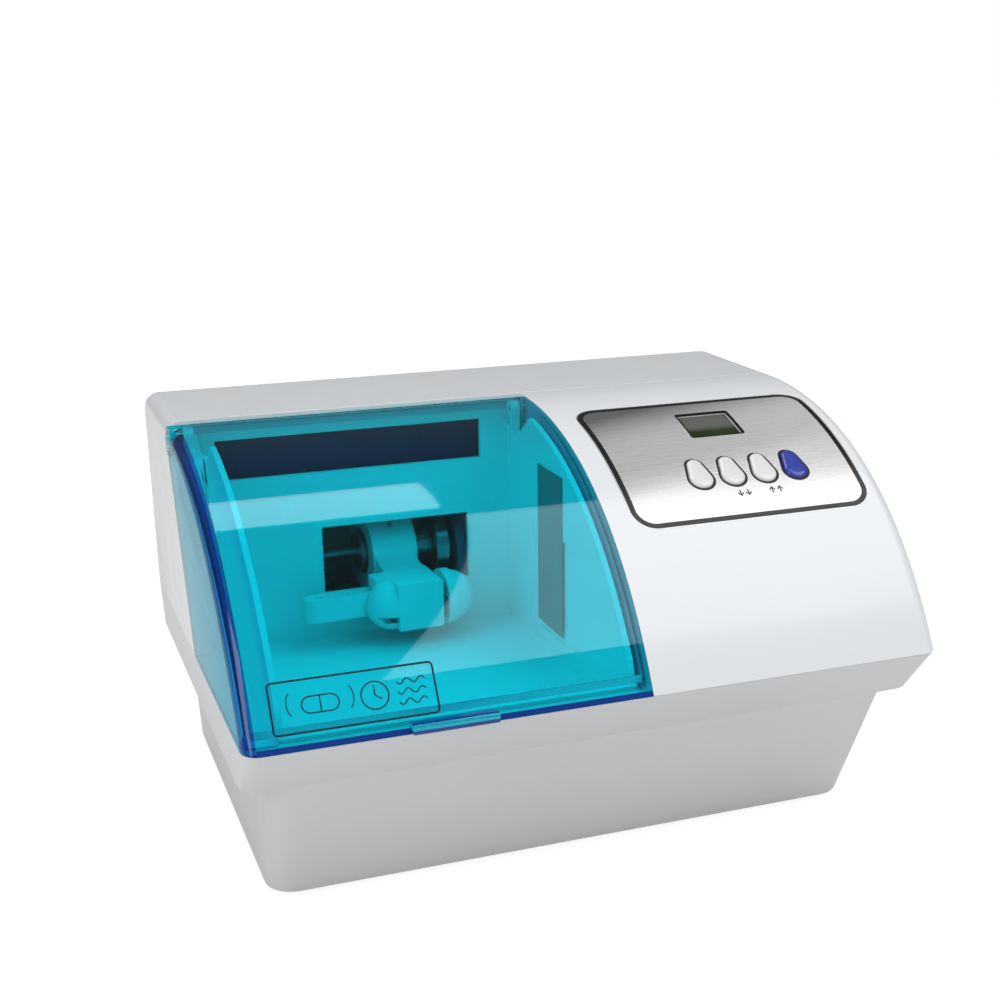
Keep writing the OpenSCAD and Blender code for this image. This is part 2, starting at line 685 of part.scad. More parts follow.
module isolator_bushes() {
  color("black") from_rim() for (x = mount_x, y = mount_y) translate([x, y, 0]) difference() {
    union() {
      translate([0, 0, plate_z - 3.9]) cylinder(h = 3.8, r = 6);
      translate([0, 0, plate_z - 1]) cylinder(h = plate_t + 2, r = 3.6);
      translate([0, 0, plate_z + plate_t + 0.1]) cylinder(h = 2.5, r = 6);
    }
    translate([0, 0, plate_z - 10]) cylinder(h = 30, r = 1.9);
  }
}

module chassis_screws() {
  color("silver") from_rim() for (x = mount_x, y = mount_y) translate([x, y, 0]) {
    translate([0, 0, plate_z + plate_t + 2.65]) cylinder(h = 2, r = 3.4);
    translate([0, 0, 54]) cylinder(h = plate_z + plate_t + 3 - 54, r = 1.45);
  }
}

module ring_x(x0, x1, r_out, r_in) {
  translate([x0, 0, 0]) rotate([0, 90, 0]) difference() {
    cylinder(h = x1 - x0, r = r_out);
    translate([0, 0, -1]) cylinder(h = x1 - x0 + 2, r = r_in);
  }
}

module shaft_bearings() {
  color("silver") from_rim() translate([0, shaft_y, shaft_z]) {
    ring_x(cheek_l[0] - 0.5, cheek_l[1] + 0.5, 8, shaft_r + run);
    ring_x(cheek_r[0] - 0.5, cheek_r[1] + 0.5, 8, shaft_r + run);
  }
}

motor_x = bulkhead[1] + 0.1;

module motor_can() {
  color("dimgray") from_rim() translate([0, shaft_y, shaft_z]) difference() {
    union() {
      translate([motor_x, 0, 0]) rotate([0, 90, 0]) cylinder(h = motor_l, r = motor_r);
      translate([motor_x - 3.5, 0, 0]) rotate([0, 90, 0]) cylinder(h = 4.5, r = 9);
      translate([motor_x + motor_l - 1, 0, 0]) rotate([0, 90, 0]) cylinder(h = 5, r = 8);
      translate([motor_x + motor_l - 8, -6, motor_r - 2]) cube([6, 12, 5]);
    }
    translate([motor_x - 5, 0, 0]) rotate([0, 90, 0]) cylinder(h = 20, r = shaft_r + run);
    for (a = [45:90:315]) rotate([a, 0, 0]) translate([motor_x - 1, 0, 16]) rotate([0, 90, 0]) cylinder(h = 7, r = 1.3);
    for (a = [0:45:315]) rotate([a, 0, 0]) translate([motor_x + 44, -2, 21]) cube([10, 4, 5]);
  }
}

module motor_screws() {
  color("silver") from_rim() translate([0, shaft_y, shaft_z]) for (a = [45:90:315]) rotate([a, 0, 0]) {
    translate([bulkhead[0] - 2.1, 0, 16]) rotate([0, 90, 0]) cylinder(h = 2, r = 2.8);
    translate([bulkhead[0] - 1, 0, 16]) rotate([0, 90, 0]) cylinder(h = 7.5, r = 1.25);
  }
}

// The rocking frame: X along the skewed journal, origin in the middle of the hub
module at_hub() {
  from_rim() translate([hub_x, shaft_y, shaft_z]) rotate([0, 0, skew]) children();
}

module drive_shaft() {
  color("silver") from_rim() translate([cheek_l[0] - 3, shaft_y, shaft_z]) rotate([0, 90, 0])
    cylinder(h = motor_x + 10 - cheek_l[0] + 3, r = shaft_r);
}

module skew_journal() {
  color("gray") difference() {
    union() {
      at_hub() {
        rotate([0, 90, 0]) translate([0, 0, -13.6]) cylinder(h = 27.2, r = journal_r);
        for (x = [-13.6, 11.6]) translate([x, 0, 0]) rotate([0, 90, 0]) cylinder(h = 2, r = journal_r + 2);
      }
      from_rim() translate([hub_x + 12.5, shaft_y, shaft_z]) rotate([0, 90, 0]) cylinder(h = 10, r = 8);
    }
    from_rim() translate([-100, shaft_y, shaft_z]) rotate([0, 90, 0]) cylinder(h = 100, r = shaft_r + 0.01);
    from_rim() translate([hub_x + 18.5, shaft_y, shaft_z]) cylinder(h = 12, r = 1.6);
  }
}

module journal_screw() {
  color("dimgray") from_rim() translate([hub_x + 18.5, shaft_y, shaft_z + shaft_r + 0.05]) difference() {
    cylinder(h = 4.4, r = 1.58);
    translate([0, 0, 2.9]) cylinder(h = 3, r = 0.8, $fn = 6);
  }
}

module flywheel() {
  color("gray") from_rim() translate([0, shaft_y, shaft_z]) {
    ring_x(hub_x + 23, hub_x + 29, 16, shaft_r + 0.01);
    ring_x(hub_x + 28.9, hub_x + 32, 7, shaft_r + 0.01);
  }
}

module journal_bearings() {
  color("silver") at_hub() for (x = [0.6 - hub_w / 2, hub_w / 2 - 0.6 - bearing_w]) {
    ring_x(x, x + bearing_w, bearing_r, journal_r + run);
  }
}

head_dx = (shaft_y - block_y - block_d / 2) * sin(skew);
bx0 = block_x0 - hub_x - head_dx;
bx1 = block_x1 - hub_x - head_dx;
by0 = block_y - shaft_y;
by1 = by0 + block_d;
bz1 = arm_top_z - shaft_z;
bz0 = bz1 - block_h;
sy0 = bar_y0 - shaft_y;
sy1 = sy0 + bar_d;
sz0 = bar_z0 - shaft_z;
sz1 = sz0 + bar_h;
jx = bx1 + jaw_gap;
seat_z = bz1 - dome_r;
seat_y = by0 + dome_r;
fit_g = 0.35;
peg_x = bx0 + 3;

// Side view of the arm: hub, hollow sweep down to the block, and a rib under the bar
module arm_side() {
  r = 17;
  polygon(concat(
    [[by1 - 1, bz1 - arm_t]],
    [[by1 - 1, bz1]],
    [for (a = [270:7.5:352.5]) [-by1 * 0 + by1 + 2 + r * cos(a), bz1 + r + r * sin(a)]],
    [[-6, hub_r - 2], [-2, 0], [-8, -hub_r + 3], [-18, bz1 - arm_t - 3.5], [by1 - 1, bz1 - arm_t - 3.5]]
  ));
}

module rocker_arm() {
  // The peg that the clip's spring pushes against
  color("white") at_hub() translate([peg_x, sy0 + bar_d / 2, bz0]) cylinder(h = sz0 + 7.4 - bz0, r = 1.1);
  color("white") at_hub() difference() {
    union() {
      translate([bx0, by0, bz0]) cube([bx1 - bx0, block_d, block_h]);
      // Domed cheek flush with the block's top and front
      intersection() {
        translate([bx0, seat_y, seat_z]) sphere(dome_r);
        translate([bx0 - 30, by0 - 1, bz0 - 10]) cube([31, sy0 - by0 + 0.4, 60]);
      }
      translate([bx0 - 0, sy0 - 1, sz1 + 0.4]) translate([-7, 0, 0]) cube([8, 11, bz1 - sz1 - 0.4]);
      across(bx0 + 1.5, bx1 - 0.5) intersection() {
        arm_side();
        translate([-60, -40]) square([59.9, 80]);
      }
      intersection() {
        translate([-hub_w / 2, 0, 0]) rotate([0, 90, 0]) cylinder(h = hub_w, r = hub_r);
        translate([-20, -40, -30]) cube([40, 39.9, 60]);
      }
    }
    // Bore for the bearings, room for the collars
    translate([-hub_w / 2 - 5, 0, 0]) rotate([0, 90, 0]) cylinder(h = hub_w + 10, r = bearing_r + run);
    // Channel for the clip bar
    translate([-40, sy0 - fit_g, sz0 - fit_g]) cube([80, bar_d + 2 * fit_g, bar_h + 2 * fit_g]);
    // Hollow cheek with its slot, seat in the block
    translate([bx0 - 1.5, seat_y - 1, seat_z]) sphere(dome_r - 2.6);
    translate([bx0 - 20, by0 - 3, seat_z - 6.5]) cube([20, 8, 3.4]);
    translate([bx1 - 7, by0 + 6.2, seat_z]) rotate([0, 90, 0]) cylinder(h = 9, r = 4.6);
    for (z = [-15, 15]) translate([0, -13, z]) rotate([-90, 0, 0]) cylinder(h = 20, r = 1.25);
  }
}

module arm_cap() {
  color("white") at_hub() difference() {
    intersection() {
      translate([-hub_w / 2, 0, 0]) rotate([0, 90, 0]) cylinder(h = hub_w, r = hub_r);
      translate([-20, 0.1, -30]) cube([40, 40, 60]);
    }
    translate([-hub_w / 2 - 5, 0, 0]) rotate([0, 90, 0]) cylinder(h = hub_w + 10, r = bearing_r + run);
    for (z = [-15, 15]) {
      translate([0, -1, z]) rotate([-90, 0, 0]) cylinder(h = 30, r = 1.6);
      translate([0, 7, z]) rotate([-90, 0, 0]) cylinder(h = 20, r = 3);
    }
  }
}

module cap_screws() {
  color("silver") at_hub() for (z = [-15, 15]) {
    translate([0, 7.1, z]) rotate([-90, 0, 0]) cylinder(h = 2.5, r = 2.8);
    translate([0, -9, z]) rotate([-90, 0, 0]) cylinder(h = 17, r = 1.2);
  }
}

module clip_slider() {
  end_x = bar_x0 - hub_x - head_dx;
  color("white") at_hub() difference() {
    union() {
      translate([end_x + bar_d / 2, sy0, sz0]) cube([jx + 1 - end_x - bar_d / 2, bar_d, bar_h]);
      translate([end_x + bar_d / 2, sy0 + bar_d / 2, sz0]) cylinder(h = bar_h, r = bar_d / 2);
      // Jaw: rimmed disc with two ribs, and the domed thumb grip behind it
      translate([jx, seat_y, seat_z]) rotate([0, 90, 0]) cylinder(h = thin_d, r = dome_r + 1);
      translate([jx + thin_d - 0.1, seat_y, seat_z]) intersection() {
        sphere(dome_r);
        translate([0, -20, -20]) cube([20, 40, 40]);
      }
    }
    difference() {
      translate([jx - 1, seat_y - 1.5, seat_z]) rotate([0, 90, 0]) cylinder(h = thin_d, r = 9);
      for (z = [-3.9, 2.7]) translate([jx - 2, seat_y - 15, seat_z + z]) cube([10, 30, 1.2]);
      translate([jx - 2, sy0, sz0 - 5]) cube([10, 20, bar_h + 5.2]);
    }
    // Finger slots on the bar's top
    translate([end_x + 5, sy0 + 3.5, sz1 - 1.2]) cube([7, 2.5, 3]);
    translate([end_x + 15, sy0 + 3.5, sz1 - 1.2]) cube([7, 2.5, 3]);
    // Spring room and the slot that the peg runs in
    translate([peg_x - 22, sy0 + bar_d / 2, sz0 + 5]) rotate([0, 90, 0]) cylinder(h = 24, r = 2.9);
    translate([peg_x - clip_travel - 1.6, sy0 + bar_d / 2 - 1.6, sz0 - 1]) cube([clip_travel + 3.2, 3.2, 6]);
  }
}

// An open coil along Z as one unbroken tube
module coil(r, wire, turns, h) {
  m = 8;
  k = 6;
  n = m * turns;
  pts = [for (i = [0:n]) let (a = 360 * i / m, c = [r * cos(a), r * sin(a), h * i / n]) for (j = [0:k - 1])
    let (b = 360 * j / k) c + wire * [cos(a) * cos(b), sin(a) * cos(b), sin(b)]];
  faces = concat(
    [[for (j = [k - 1:-1:0]) j]],
    [for (i = [0:n - 1], j = [0:k - 1]) [i * k + j, i * k + (j + 1) % k, (i + 1) * k + (j + 1) % k, (i + 1) * k + j]],
    [[for (j = [0:k - 1]) n * k + j]]
  );
  echo(str("coil gap to itself: ", h / turns - 2 * wire));
  polyhedron(pts, faces, convexity = 6);
}

module clip_spring() {
  color("silver") at_hub() translate([peg_x - 21.3, sy0 + bar_d / 2, sz0 + 5]) rotate([0, 90, 0])
    coil(2, 0.4, 10, 19.5);
}

module steady_spring() {
  color("silver") from_rim() translate([hub_x, shaft_y, plate_z + plate_t + 0.6]) coil(5, 0.5, 4, 6.4);
}

module transformer() {
  z0 = tub_bottom + 8.1;
  color("dimgray") from_rim() translate([trafo_x, trafo_y, 0]) {
    translate([-core_w / 2, 7, z0 + 2.4]) cube([core_w, core_d, core_h]);
    translate([-coil_w / 2, -5, z0 + 8.4]) cube([coil_w, coil_d, coil_h]);
    difference() {
      translate([-strap_w / 2 - 6, -6, z0]) cube([strap_w + 12, 14, 2.5]);
      for (e = [-1, 1]) translate([e * strap_w / 2, 0, z0 - 1]) cylinder(h = 9, r = 1.8);
    }
    translate([-core_w / 2, 4, z0]) cube([core_w, core_d + 3, 3]);
    for (e = [-1, 1]) translate([e * strap_w / 2, 0, z0 - 4]) {
      cylinder(h = 8, r = 1.25);
      translate([0, 0, 6.6]) cylinder(h = 2, r = 2.6);
    }
  }
}

module mains_inlet() {
  color("black") from_rim() difference() {
    union() {
      translate([inlet_x - 25, body_d + 0.1, rear_z - 12.5]) cube([50, 2, 25]);
      translate([inlet_x - 13.4, body_d - 20, rear_z - 9.9]) cube([26.8, 21, 19.8]);
    }
    translate([inlet_x - 11.6, body_d - 17, rear_z - 8]) cube([23.2, 20, 16]);
    for (e = [-1, 1]) translate([inlet_x + e * 20, body_d + 5, rear_z]) rotate([90, 0, 0]) cylinder(h = 8, r = 1.7);
  }
  color("gold") from_rim() for (p = [[-7, -2], [0, 2], [7, -2]])
    translate([inlet_x + p[0] - 1, body_d - 18, rear_z + p[1] - 2]) cube([2, 15, 4]);
}

module inlet_screws() {
  color("silver") from_rim() for (e = [-1, 1]) translate([inlet_x + e * 20, body_d + 2.9, rear_z]) rotate([90, 0, 0]) {
    cylinder(h = 0.7, r = 2.8);
    cylinder(h = 6, r = 1.4);
  }
}

rocker_r = 10.4;

module switch_frame() {
  color("black") from_rim() difference() {
    union() {
      translate([switch_x - 15.5, body_d + 0.1, rear_z - 11.5]) cube([31, 1.6, 23]);
      translate([switch_x - 13.2, body_d - 18, rear_z - 9.2]) cube([26.4, 19, 18.4]);
    }
    translate([switch_x - rocker_r - 0.5, body_d - 12, rear_z - 7.4]) cube([2 * rocker_r + 1, 20, 14.8]);
    translate([switch_x, body_d - 5.4, rear_z - 8.4]) cylinder(h = 16.8, r = 1.2 + run);
  }
}

module switch_rocker() {
  color("crimson") from_rim() translate([switch_x, body_d - 5.4, rear_z]) rotate([0, 0, -9]) {
    translate([0, 0, -7]) linear_extrude(14) intersection() {
      difference() {
        circle(rocker_r);
        translate([0, 28]) circle(22.5);
      }
      translate([-20, -1.6]) square([40, 20]);
    }
    translate([0, 0, -8.2]) cylinder(h = 16.4, r = 1.2);
  }
}

module fuse_holder() {
  color("black") from_rim() translate([fuse_x, body_d, rear_z]) rotate([90, 0, 0]) difference() {
    union() {
      translate([0, 0, -1.6]) cylinder(h = 1.5, r = 8);
      translate([0, 0, -1]) cylinder(h = 26, r = 6);
      translate([0, 0, wall + 0.1]) cylinder(h = 3, r = 8, $fn = 6);
    }
    translate([0, 0, -3]) cylinder(h = 24, r = 4.2);
  }
}

module fuse_cap() {
  color("black") from_rim() translate([fuse_x, body_d + 1.7, rear_z]) rotate([-90, 0, 0]) difference() {
    union() {
      cylinder(h = rear_reach - 1.7, r = 6.4);
      translate([0, 0, -16]) cylinder(h = 16.1, r = 3.9);
    }
    translate([-5, -0.6, rear_reach - 2.5]) cube([10, 1.2, 2]);
  }
}

base_tub();
top_shell();
chamber_liner();
rubber_feet();
case_screws();
control_overlay();
display_lens();
display_module();
control_board();
tact_switches();
board_screws();
button_mode();
button_down();
button_up();
button_start();
lid_canopy();
hinge_pins();
lid_switch();
chassis_frame();
isolator_bushes();
chassis_screws();
shaft_bearings();
motor_can();
motor_screws();
drive_shaft();
skew_journal();
journal_screw();
flywheel();
journal_bearings();
rocker_arm();
arm_cap();
cap_screws();
clip_slider();
clip_spring();
steady_spring();
transformer();
mains_inlet();
inlet_screws();
switch_frame();
switch_rocker();
fuse_holder();
fuse_cap();
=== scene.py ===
import math

import bmesh
import bpy
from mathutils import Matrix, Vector


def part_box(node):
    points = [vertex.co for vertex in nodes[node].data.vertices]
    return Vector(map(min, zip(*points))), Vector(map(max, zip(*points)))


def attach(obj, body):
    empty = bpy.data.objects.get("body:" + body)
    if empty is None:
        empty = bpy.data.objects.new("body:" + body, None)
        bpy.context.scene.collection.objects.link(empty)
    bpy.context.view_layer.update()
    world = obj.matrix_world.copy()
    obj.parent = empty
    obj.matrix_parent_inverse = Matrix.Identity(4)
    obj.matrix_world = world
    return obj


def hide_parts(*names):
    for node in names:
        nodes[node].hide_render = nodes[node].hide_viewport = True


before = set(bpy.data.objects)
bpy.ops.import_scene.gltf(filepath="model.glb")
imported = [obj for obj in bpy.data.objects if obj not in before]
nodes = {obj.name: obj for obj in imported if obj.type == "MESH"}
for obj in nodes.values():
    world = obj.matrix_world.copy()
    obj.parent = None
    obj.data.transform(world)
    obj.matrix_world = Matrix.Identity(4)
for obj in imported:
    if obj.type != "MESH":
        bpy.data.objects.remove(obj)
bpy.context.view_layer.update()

# Sizes in millimetres, measured back from the front rim, as in the part's source
MM = 0.001
FRONT = -116.0
HALF, DEPTH, TOP, RIM_Z = 150.0, 232.0, 180.0, 86.3
# The four points, as (y, z), of the front's cubic curve
CREASE, BROW, BELLY, RIM = (154.0, 180.0), (76.0, 180.0), (27.0, 138.0), (0.0, 86.3)
# Edge radii at the sides and the rear, walls of housing and canopy, and the canopy's right end
EDGE_R, REAR_R, WALL, LID_T, SPLIT = 7.0, 9.0, 2.8, 2.4, 15.0
# The canopy's hinge, the radius of its rolled edge, and the foot of its slanted rear edge
AXLE, AXLE_R, FOOT = (146.9, 173.5), 6.5, (112.0, 86.3)
# Bottoms of a shape that is trimmed afterwards and of one that cuts, and a place outside the housing's left
TRIM_Z, CUT_Z, OUT_X = 60.0, 50.0, -152.0
# Steps along the curve in a mesh, and in the table that finds the nearest point
STEPS, CURVE_N = (48), 600


# ---------------------------------------------------------------- curve
def curve(t):
    """(y, z) on the front's cubic curve, from the crease at t = 0 down to the rim at t = 1."""
    a, b, c, d = (1 - t) ** 3, 3 * (1 - t) ** 2 * t, 3 * (1 - t) * t * t, t ** 3
    return tuple(a * CREASE[k] + b * BROW[k] + c * BELLY[k] + d * RIM[k] for k in (0, 1))


def along(t):
    """The direction of the curve at t, of length 1."""
    a, b, c = (1 - t) ** 2, 2 * (1 - t) * t, t * t
    v = [a * (BROW[k] - CREASE[k]) + b * (BELLY[k] - BROW[k]) + c * (RIM[k] - BELLY[k]) for k in (0, 1)]
    n = math.hypot(*v)
    return v[0] / n, v[1] / n


def inset(t, depth):
    """The point that lies that deep under the curve."""
    p, u = curve(t), along(t)
    return p[0] - u[1] * depth, p[1] + u[0] * depth


TABLE = [curve(i / CURVE_N) for i in range(CURVE_N + 1)]
ARC = [0.0]
for here, there in zip(TABLE, TABLE[1:]):
    ARC.append(ARC[-1] + math.dist(here, there))


def arc_at(t):
    """Length of the curve from the crease to t."""
    return ARC[round(t * CURVE_N)]


def nearest(y, z):
    """(arc length, depth, outward direction) of a point of the side view, by the curved front or flat top."""
    if y >= CREASE[0]:
        return -(y - CREASE[0]), TOP - z, (0.0, 1.0)

    def away(k):
        return (TABLE[k][0] - y) ** 2 + (TABLE[k][1] - z) ** 2

    i = min(range(0, CURVE_N + 1, 6), key=away)
    i = min(range(max(0, i - 6), min(CURVE_N + 1, i + 7)), key=away)
    t = i / CURVE_N
    p, u = curve(t), along(t)
    s = ARC[i] + (y - p[0]) * u[0] + (z - p[1]) * u[1]
    return s, (y - p[0]) * -u[1] + (z - p[1]) * u[0], (u[1], -u[0])


def on_front(x, s, lift=0.0):
    """The point s millimetres below the crease, lifted off the curved front, in metres."""
    i = min(range(CURVE_N + 1), key=lambda k: abs(ARC[k] - s))
    t = i / CURVE_N
    p, u = curve(t), along(t)
    e = s - ARC[i]
    y, z = p[0] + u[0] * e + u[1] * lift, p[1] + u[1] * e - u[0] * lift
    return Vector((x * MM, (y + FRONT) * MM, z * MM))


# ---------------------------------------------------------------- mesh helpers
def only(obj):
    """Selects one object and nothing else."""
    bpy.ops.object.select_all(action="DESELECT")
    obj.select_set(True)
    bpy.context.view_layer.objects.active = obj


def from_bm(name, bm):
    mesh = bpy.data.meshes.new(name)
    bm.to_mesh(mesh)
    bm.free()
    obj = bpy.data.objects.new(name, mesh)
    bpy.context.scene.collection.objects.link(obj)
    return obj


def loft(name, rings, front=FRONT):
    """Closed rings of (x, y from the rim, z) in millimetres, joined into a solid."""
    bm = bmesh.new()
    vs = [[bm.verts.new((x * MM, (y + front) * MM, z * MM)) for x, y, z in ring] for ring in rings]
    for a, b in zip(vs, vs[1:]):
        for i in range(len(a)):
            j = (i + 1) % len(a)
            bm.faces.new((a[i], a[j], b[j], b[i]))
    bm.faces.new(vs[0][::-1])
    bm.faces.new(vs[-1])
    bmesh.ops.recalc_face_normals(bm, faces=bm.faces)
    return from_bm(name, bm)


def prism(name, side, x0, x1):
    """A side view of (y, z) drawn out from x0 to x1."""
    return loft(name, [[(x, y, z) for y, z in side] for x in (x0, x1)])


def round_ring(a, b, r, n=32):
    """Points on a circle round (a, b)."""
    return [(a + r * math.cos(2 * math.pi * k / n), b + r * math.sin(2 * math.pi * k / n)) for k in range(n)]


def rod(name, x0, x1, y, z, r, n=32):
    """A round bar along X."""
    return prism(name, round_ring(y, z, r, n), x0, x1)


def block(name, lo, hi):
    """A cube primitive with its corners put at two opposite corners."""
    bpy.ops.mesh.primitive_cube_add(size=2.0, calc_uvs=False)
    obj = bpy.context.object
    obj.name = obj.data.name = name
    for v in obj.data.vertices:
        x, y, z = ((hi if v.co[k] > 0 else lo)[k] for k in range(3))
        v.co = (x * MM, (y + FRONT) * MM, z * MM)
    return obj


def combine(obj, tools, operation="DIFFERENCE"):
    """Cuts, joins or intersects with the tools, one after another, and removes them."""
    for tool in tools:
        only(obj)
        m = obj.modifiers.new("join", "BOOLEAN")
        m.object = tool
        m.operation = operation
        m.solver = "EXACT"
        bpy.ops.object.modifier_apply(modifier=m.name)
        bpy.data.objects.remove(tool)
    return obj


def trim_below(obj, z):
    """Cuts off all that lies under a height and closes the cut."""
    only(obj)
    bpy.ops.object.mode_set(mode="EDIT")
    bpy.ops.mesh.select_all(action="SELECT")
    bpy.ops.mesh.bisect(plane_co=(0, 0, z * MM), plane_no=(0, 0, 1), use_fill=True, clear_inner=True)
    bpy.ops.object.mode_set(mode="OBJECT")
    return obj


def soften(obj, width, angle=35, segments=2):
    """Rounds the sharp edges, with a width in millimetres."""
    only(obj)
    m = obj.modifiers.new("soft", "BEVEL")
    m.width = width * MM
    m.segments = segments
    m.limit_method = "ANGLE"
    m.angle_limit = math.radians(angle)
    m.use_clamp_overlap = True
    bpy.ops.object.modifier_apply(modifier=m.name)
    bpy.ops.object.shade_smooth_by_angle(angle=math.radians(32))
    return obj


def quarter(y, z, r):
    """A quarter circle from straight up round to the rear."""
    return [(y + r * math.sin(math.pi * k / 16), z + r * math.cos(math.pi * k / 16)) for k in range(9)]


def rear_view(depth, bottom):
    """The rounded top rear edge and the back, down to the bottom."""
    return quarter(DEPTH - REAR_R, TOP - REAR_R, REAR_R - depth) + [(DEPTH - depth, bottom)]


def side_view(depth, bottom, n=STEPS):
    """Side view of the housing at a depth under its skin: front curve, flat top and back."""
    front = [inset(1 - i / n, depth) for i in range(n + 1)]
    return [(front[0][0], bottom)] + front + rear_view(depth, bottom)


def skin(name, depth, r, bottom, left=None, right=None, view=side_view):
    """The rounded upper housing, or a part of it cut square at left or right."""
    half = HALF - depth
    turns = [i / 6 * math.pi / 2 for i in range(7)]
    edge = [(half - r + r * math.sin(a), depth + r * (1 - math.cos(a))) for a in turns]
    cuts = [(-x, d) for x, d in reversed(edge)] if left is None else [(left, depth)]
    cuts += edge if right is None else [(right, depth)]
    return loft(name, [[(x, y, z) for y, z in view(d, bottom)] for x, d in cuts])


def fair(obj, layers):
    """Exact shading normals on the rounded skin: layers are (depth, edge radius, +1 outside or -1 inside).

    A vertex belongs to a layer within near_skin millimetres of it, and a face takes the layer's normals when
    its own points the same way, by a cosine over same_way.
    """
    near_skin, same_way = 0.16, 0.86
    only(obj)
    bpy.ops.object.shade_smooth_by_angle(angle=math.radians(32))
    mesh = obj.data
    seen = {}
    marks = []
    for v in mesh.vertices:
        x, y, z = v.co.x / MM, v.co.y / MM - FRONT, v.co.z / MM
        key = (round(y, 3), round(z, 3))
        if key not in seen:
            seen[key] = nearest(y, z)
        s, d, n = seen[key]
        found = []
        for depth, r, way in layers:
            over = abs(x) - (HALF - depth - r)
            a = math.asin(min(1.0, over / r)) if over > 0 and r > 0 else 0.0
            if abs(d - depth - r * (1 - math.cos(a))) < near_skin:
                out = (math.copysign(math.sin(a), x), n[0] * math.cos(a), n[1] * math.cos(a))
                found.append((way, Vector(out)))
        marks.append(found)
    normals = [tuple(c.vector) for c in mesh.corner_normals]
    for p in mesh.polygons:
        for way in (1, -1):
            hits = [[n for w, n in marks[v] if w == way] for v in p.vertices]
            if all(hits) and all((h[0] * way).dot(p.normal) > same_way for h in hits):
                for li, h in zip(p.loop_indices, hits):
                    normals[li] = tuple(h[0] * way)
                break
    mesh.normals_split_custom_set(normals)


def lay_uv(obj):
    """UV in metres over the curved front: across, and down from the crease."""
    uv = obj.data.uv_layers.new(name="front")
    seen = {}
    for loop in obj.data.loops:
        v = obj.data.vertices[loop.vertex_index].co
        key = (round(v.y, 6), round(v.z, 6))
        if key not in seen:
            seen[key] = nearest(v.y / MM - FRONT, v.z / MM)[0]
        uv.data[loop.index].uv = (v.x, seen[key] * MM)


# ---------------------------------------------------------------- materials
def plug(tree, socket, v):
    """Links an output to the socket, or sets the socket's own value."""
    if hasattr(v, "is_linked"):
        tree.links.new(v, socket)
    else:
        socket.default_value = v


def math_node(tree, operation, *values):
    n = tree.nodes.new("ShaderNodeMath")
    n.operation = operation
    for socket, v in zip(n.inputs, values):
        plug(tree, socket, v)
    return n.outputs[0]


def range_node(tree, v, lo, hi, a=0.0, b=1.0):
    """Maps lo to a and hi to b, and holds both ends."""
    n = tree.nodes.new("ShaderNodeMapRange")
    for label, w in (("Value", v), ("From Min", lo), ("From Max", hi), ("To Min", a), ("To Max", b)):
        plug(tree, n.inputs[label], w)
    return n.outputs[0]


def noise_node(tree, scale, detail, stretch=None):
    """Noise on the object's own coordinates, drawn out by a stretch where one is given."""
    coord = tree.nodes.new("ShaderNodeTexCoord").outputs["Object"]
    if stretch is not None:
        m = tree.nodes.new("ShaderNodeMapping")
        plug(tree, m.inputs["Scale"], stretch)
        tree.links.new(coord, m.inputs["Vector"])
        coord = m.outputs[0]
    n = tree.nodes.new("ShaderNodeTexNoise")
    tree.links.new(coord, n.inputs["Vector"])
    plug(tree, n.inputs["Scale"], scale)
    plug(tree, n.inputs["Detail"], detail)
    return n.outputs[0]


class Paint:
    """A node material under construction."""

    def __init__(self, name):
        self.mat = bpy.data.materials.new(name)
        self.mat.use_nodes = True
        self.tree = self.mat.node_tree
        self.bsdf = self.tree.nodes["Principled BSDF"]

    def node(self, kind):
        return self.tree.nodes.new(kind)

    def group(self, tree, **inputs):
        """Places a node group with its own values, and gives its outputs."""
        n = self.node("ShaderNodeGroup")
        n.node_tree = tree
        for label, v in inputs.items():
            n.inputs[label].default_value = v
        return n.outputs

    def math(self, operation, *values):
        return math_node(self.tree, operation, *values)

    def ramp(self, v, lo, hi, a=0.0, b=1.0):
        return range_node(self.tree, v, lo, hi, a, b)

    def noise(self, scale, detail, stretch=None):
        return noise_node(self.tree, scale, detail, stretch)

    def mix(self, fac, a, b):
        """Colour a where fac is 0 and colour b where it is 1."""
        n = self.node("ShaderNodeMix")
        n.data_type = "RGBA"
        plug(self.tree, n.inputs[0], fac)
        for socket, v in ((n.inputs[6], a), (n.inputs[7], b)):
            plug(self.tree, socket, (*v, 1.0) if isinstance(v, tuple) else v)
        return n.outputs[2]

    def bump(self, height, strength, distance=0.0002):
        n = self.node("ShaderNodeBump")
        n.inputs["Strength"].default_value = strength
        n.inputs["Distance"].default_value = distance
        self.tree.links.new(height, n.inputs["Height"])
        self.tree.links.new(n.outputs[0], self.bsdf.inputs["Normal"])

    def set(self, **inputs):
        """Sets or links sockets of the Principled shader, with _ for a blank in their names."""
        for label, v in inputs.items():
            socket = self.bsdf.inputs[label.replace("_", " ")]
            plug(self.tree, socket, (*v, 1.0) if isinstance(v, tuple) else v)

    def cover(self, fac, shader):
        """Shows another shader instead, by the share fac."""
        m = self.node("ShaderNodeMixShader")
        self.tree.links.new(fac, m.inputs[0])
        self.tree.links.new(self.bsdf.outputs[0], m.inputs[1])
        self.tree.links.new(shader.outputs[0], m.inputs[2])
        self.tree.links.new(m.outputs[0], self.tree.nodes["Material Output"].inputs["Surface"])


def new_group(name, ins, outs):
    """A shader node group and its two ends."""
    tree = bpy.data.node_groups.new(name, "ShaderNodeTree")
    for label, kind, value in ins:
        tree.interface.new_socket(label, in_out="INPUT", socket_type=kind).default_value = value
    for label in outs:
        tree.interface.new_socket(label, in_out="OUTPUT", socket_type="NodeSocketFloat")
    return tree, tree.nodes.new("NodeGroupInput").outputs, tree.nodes.new("NodeGroupOutput").inputs


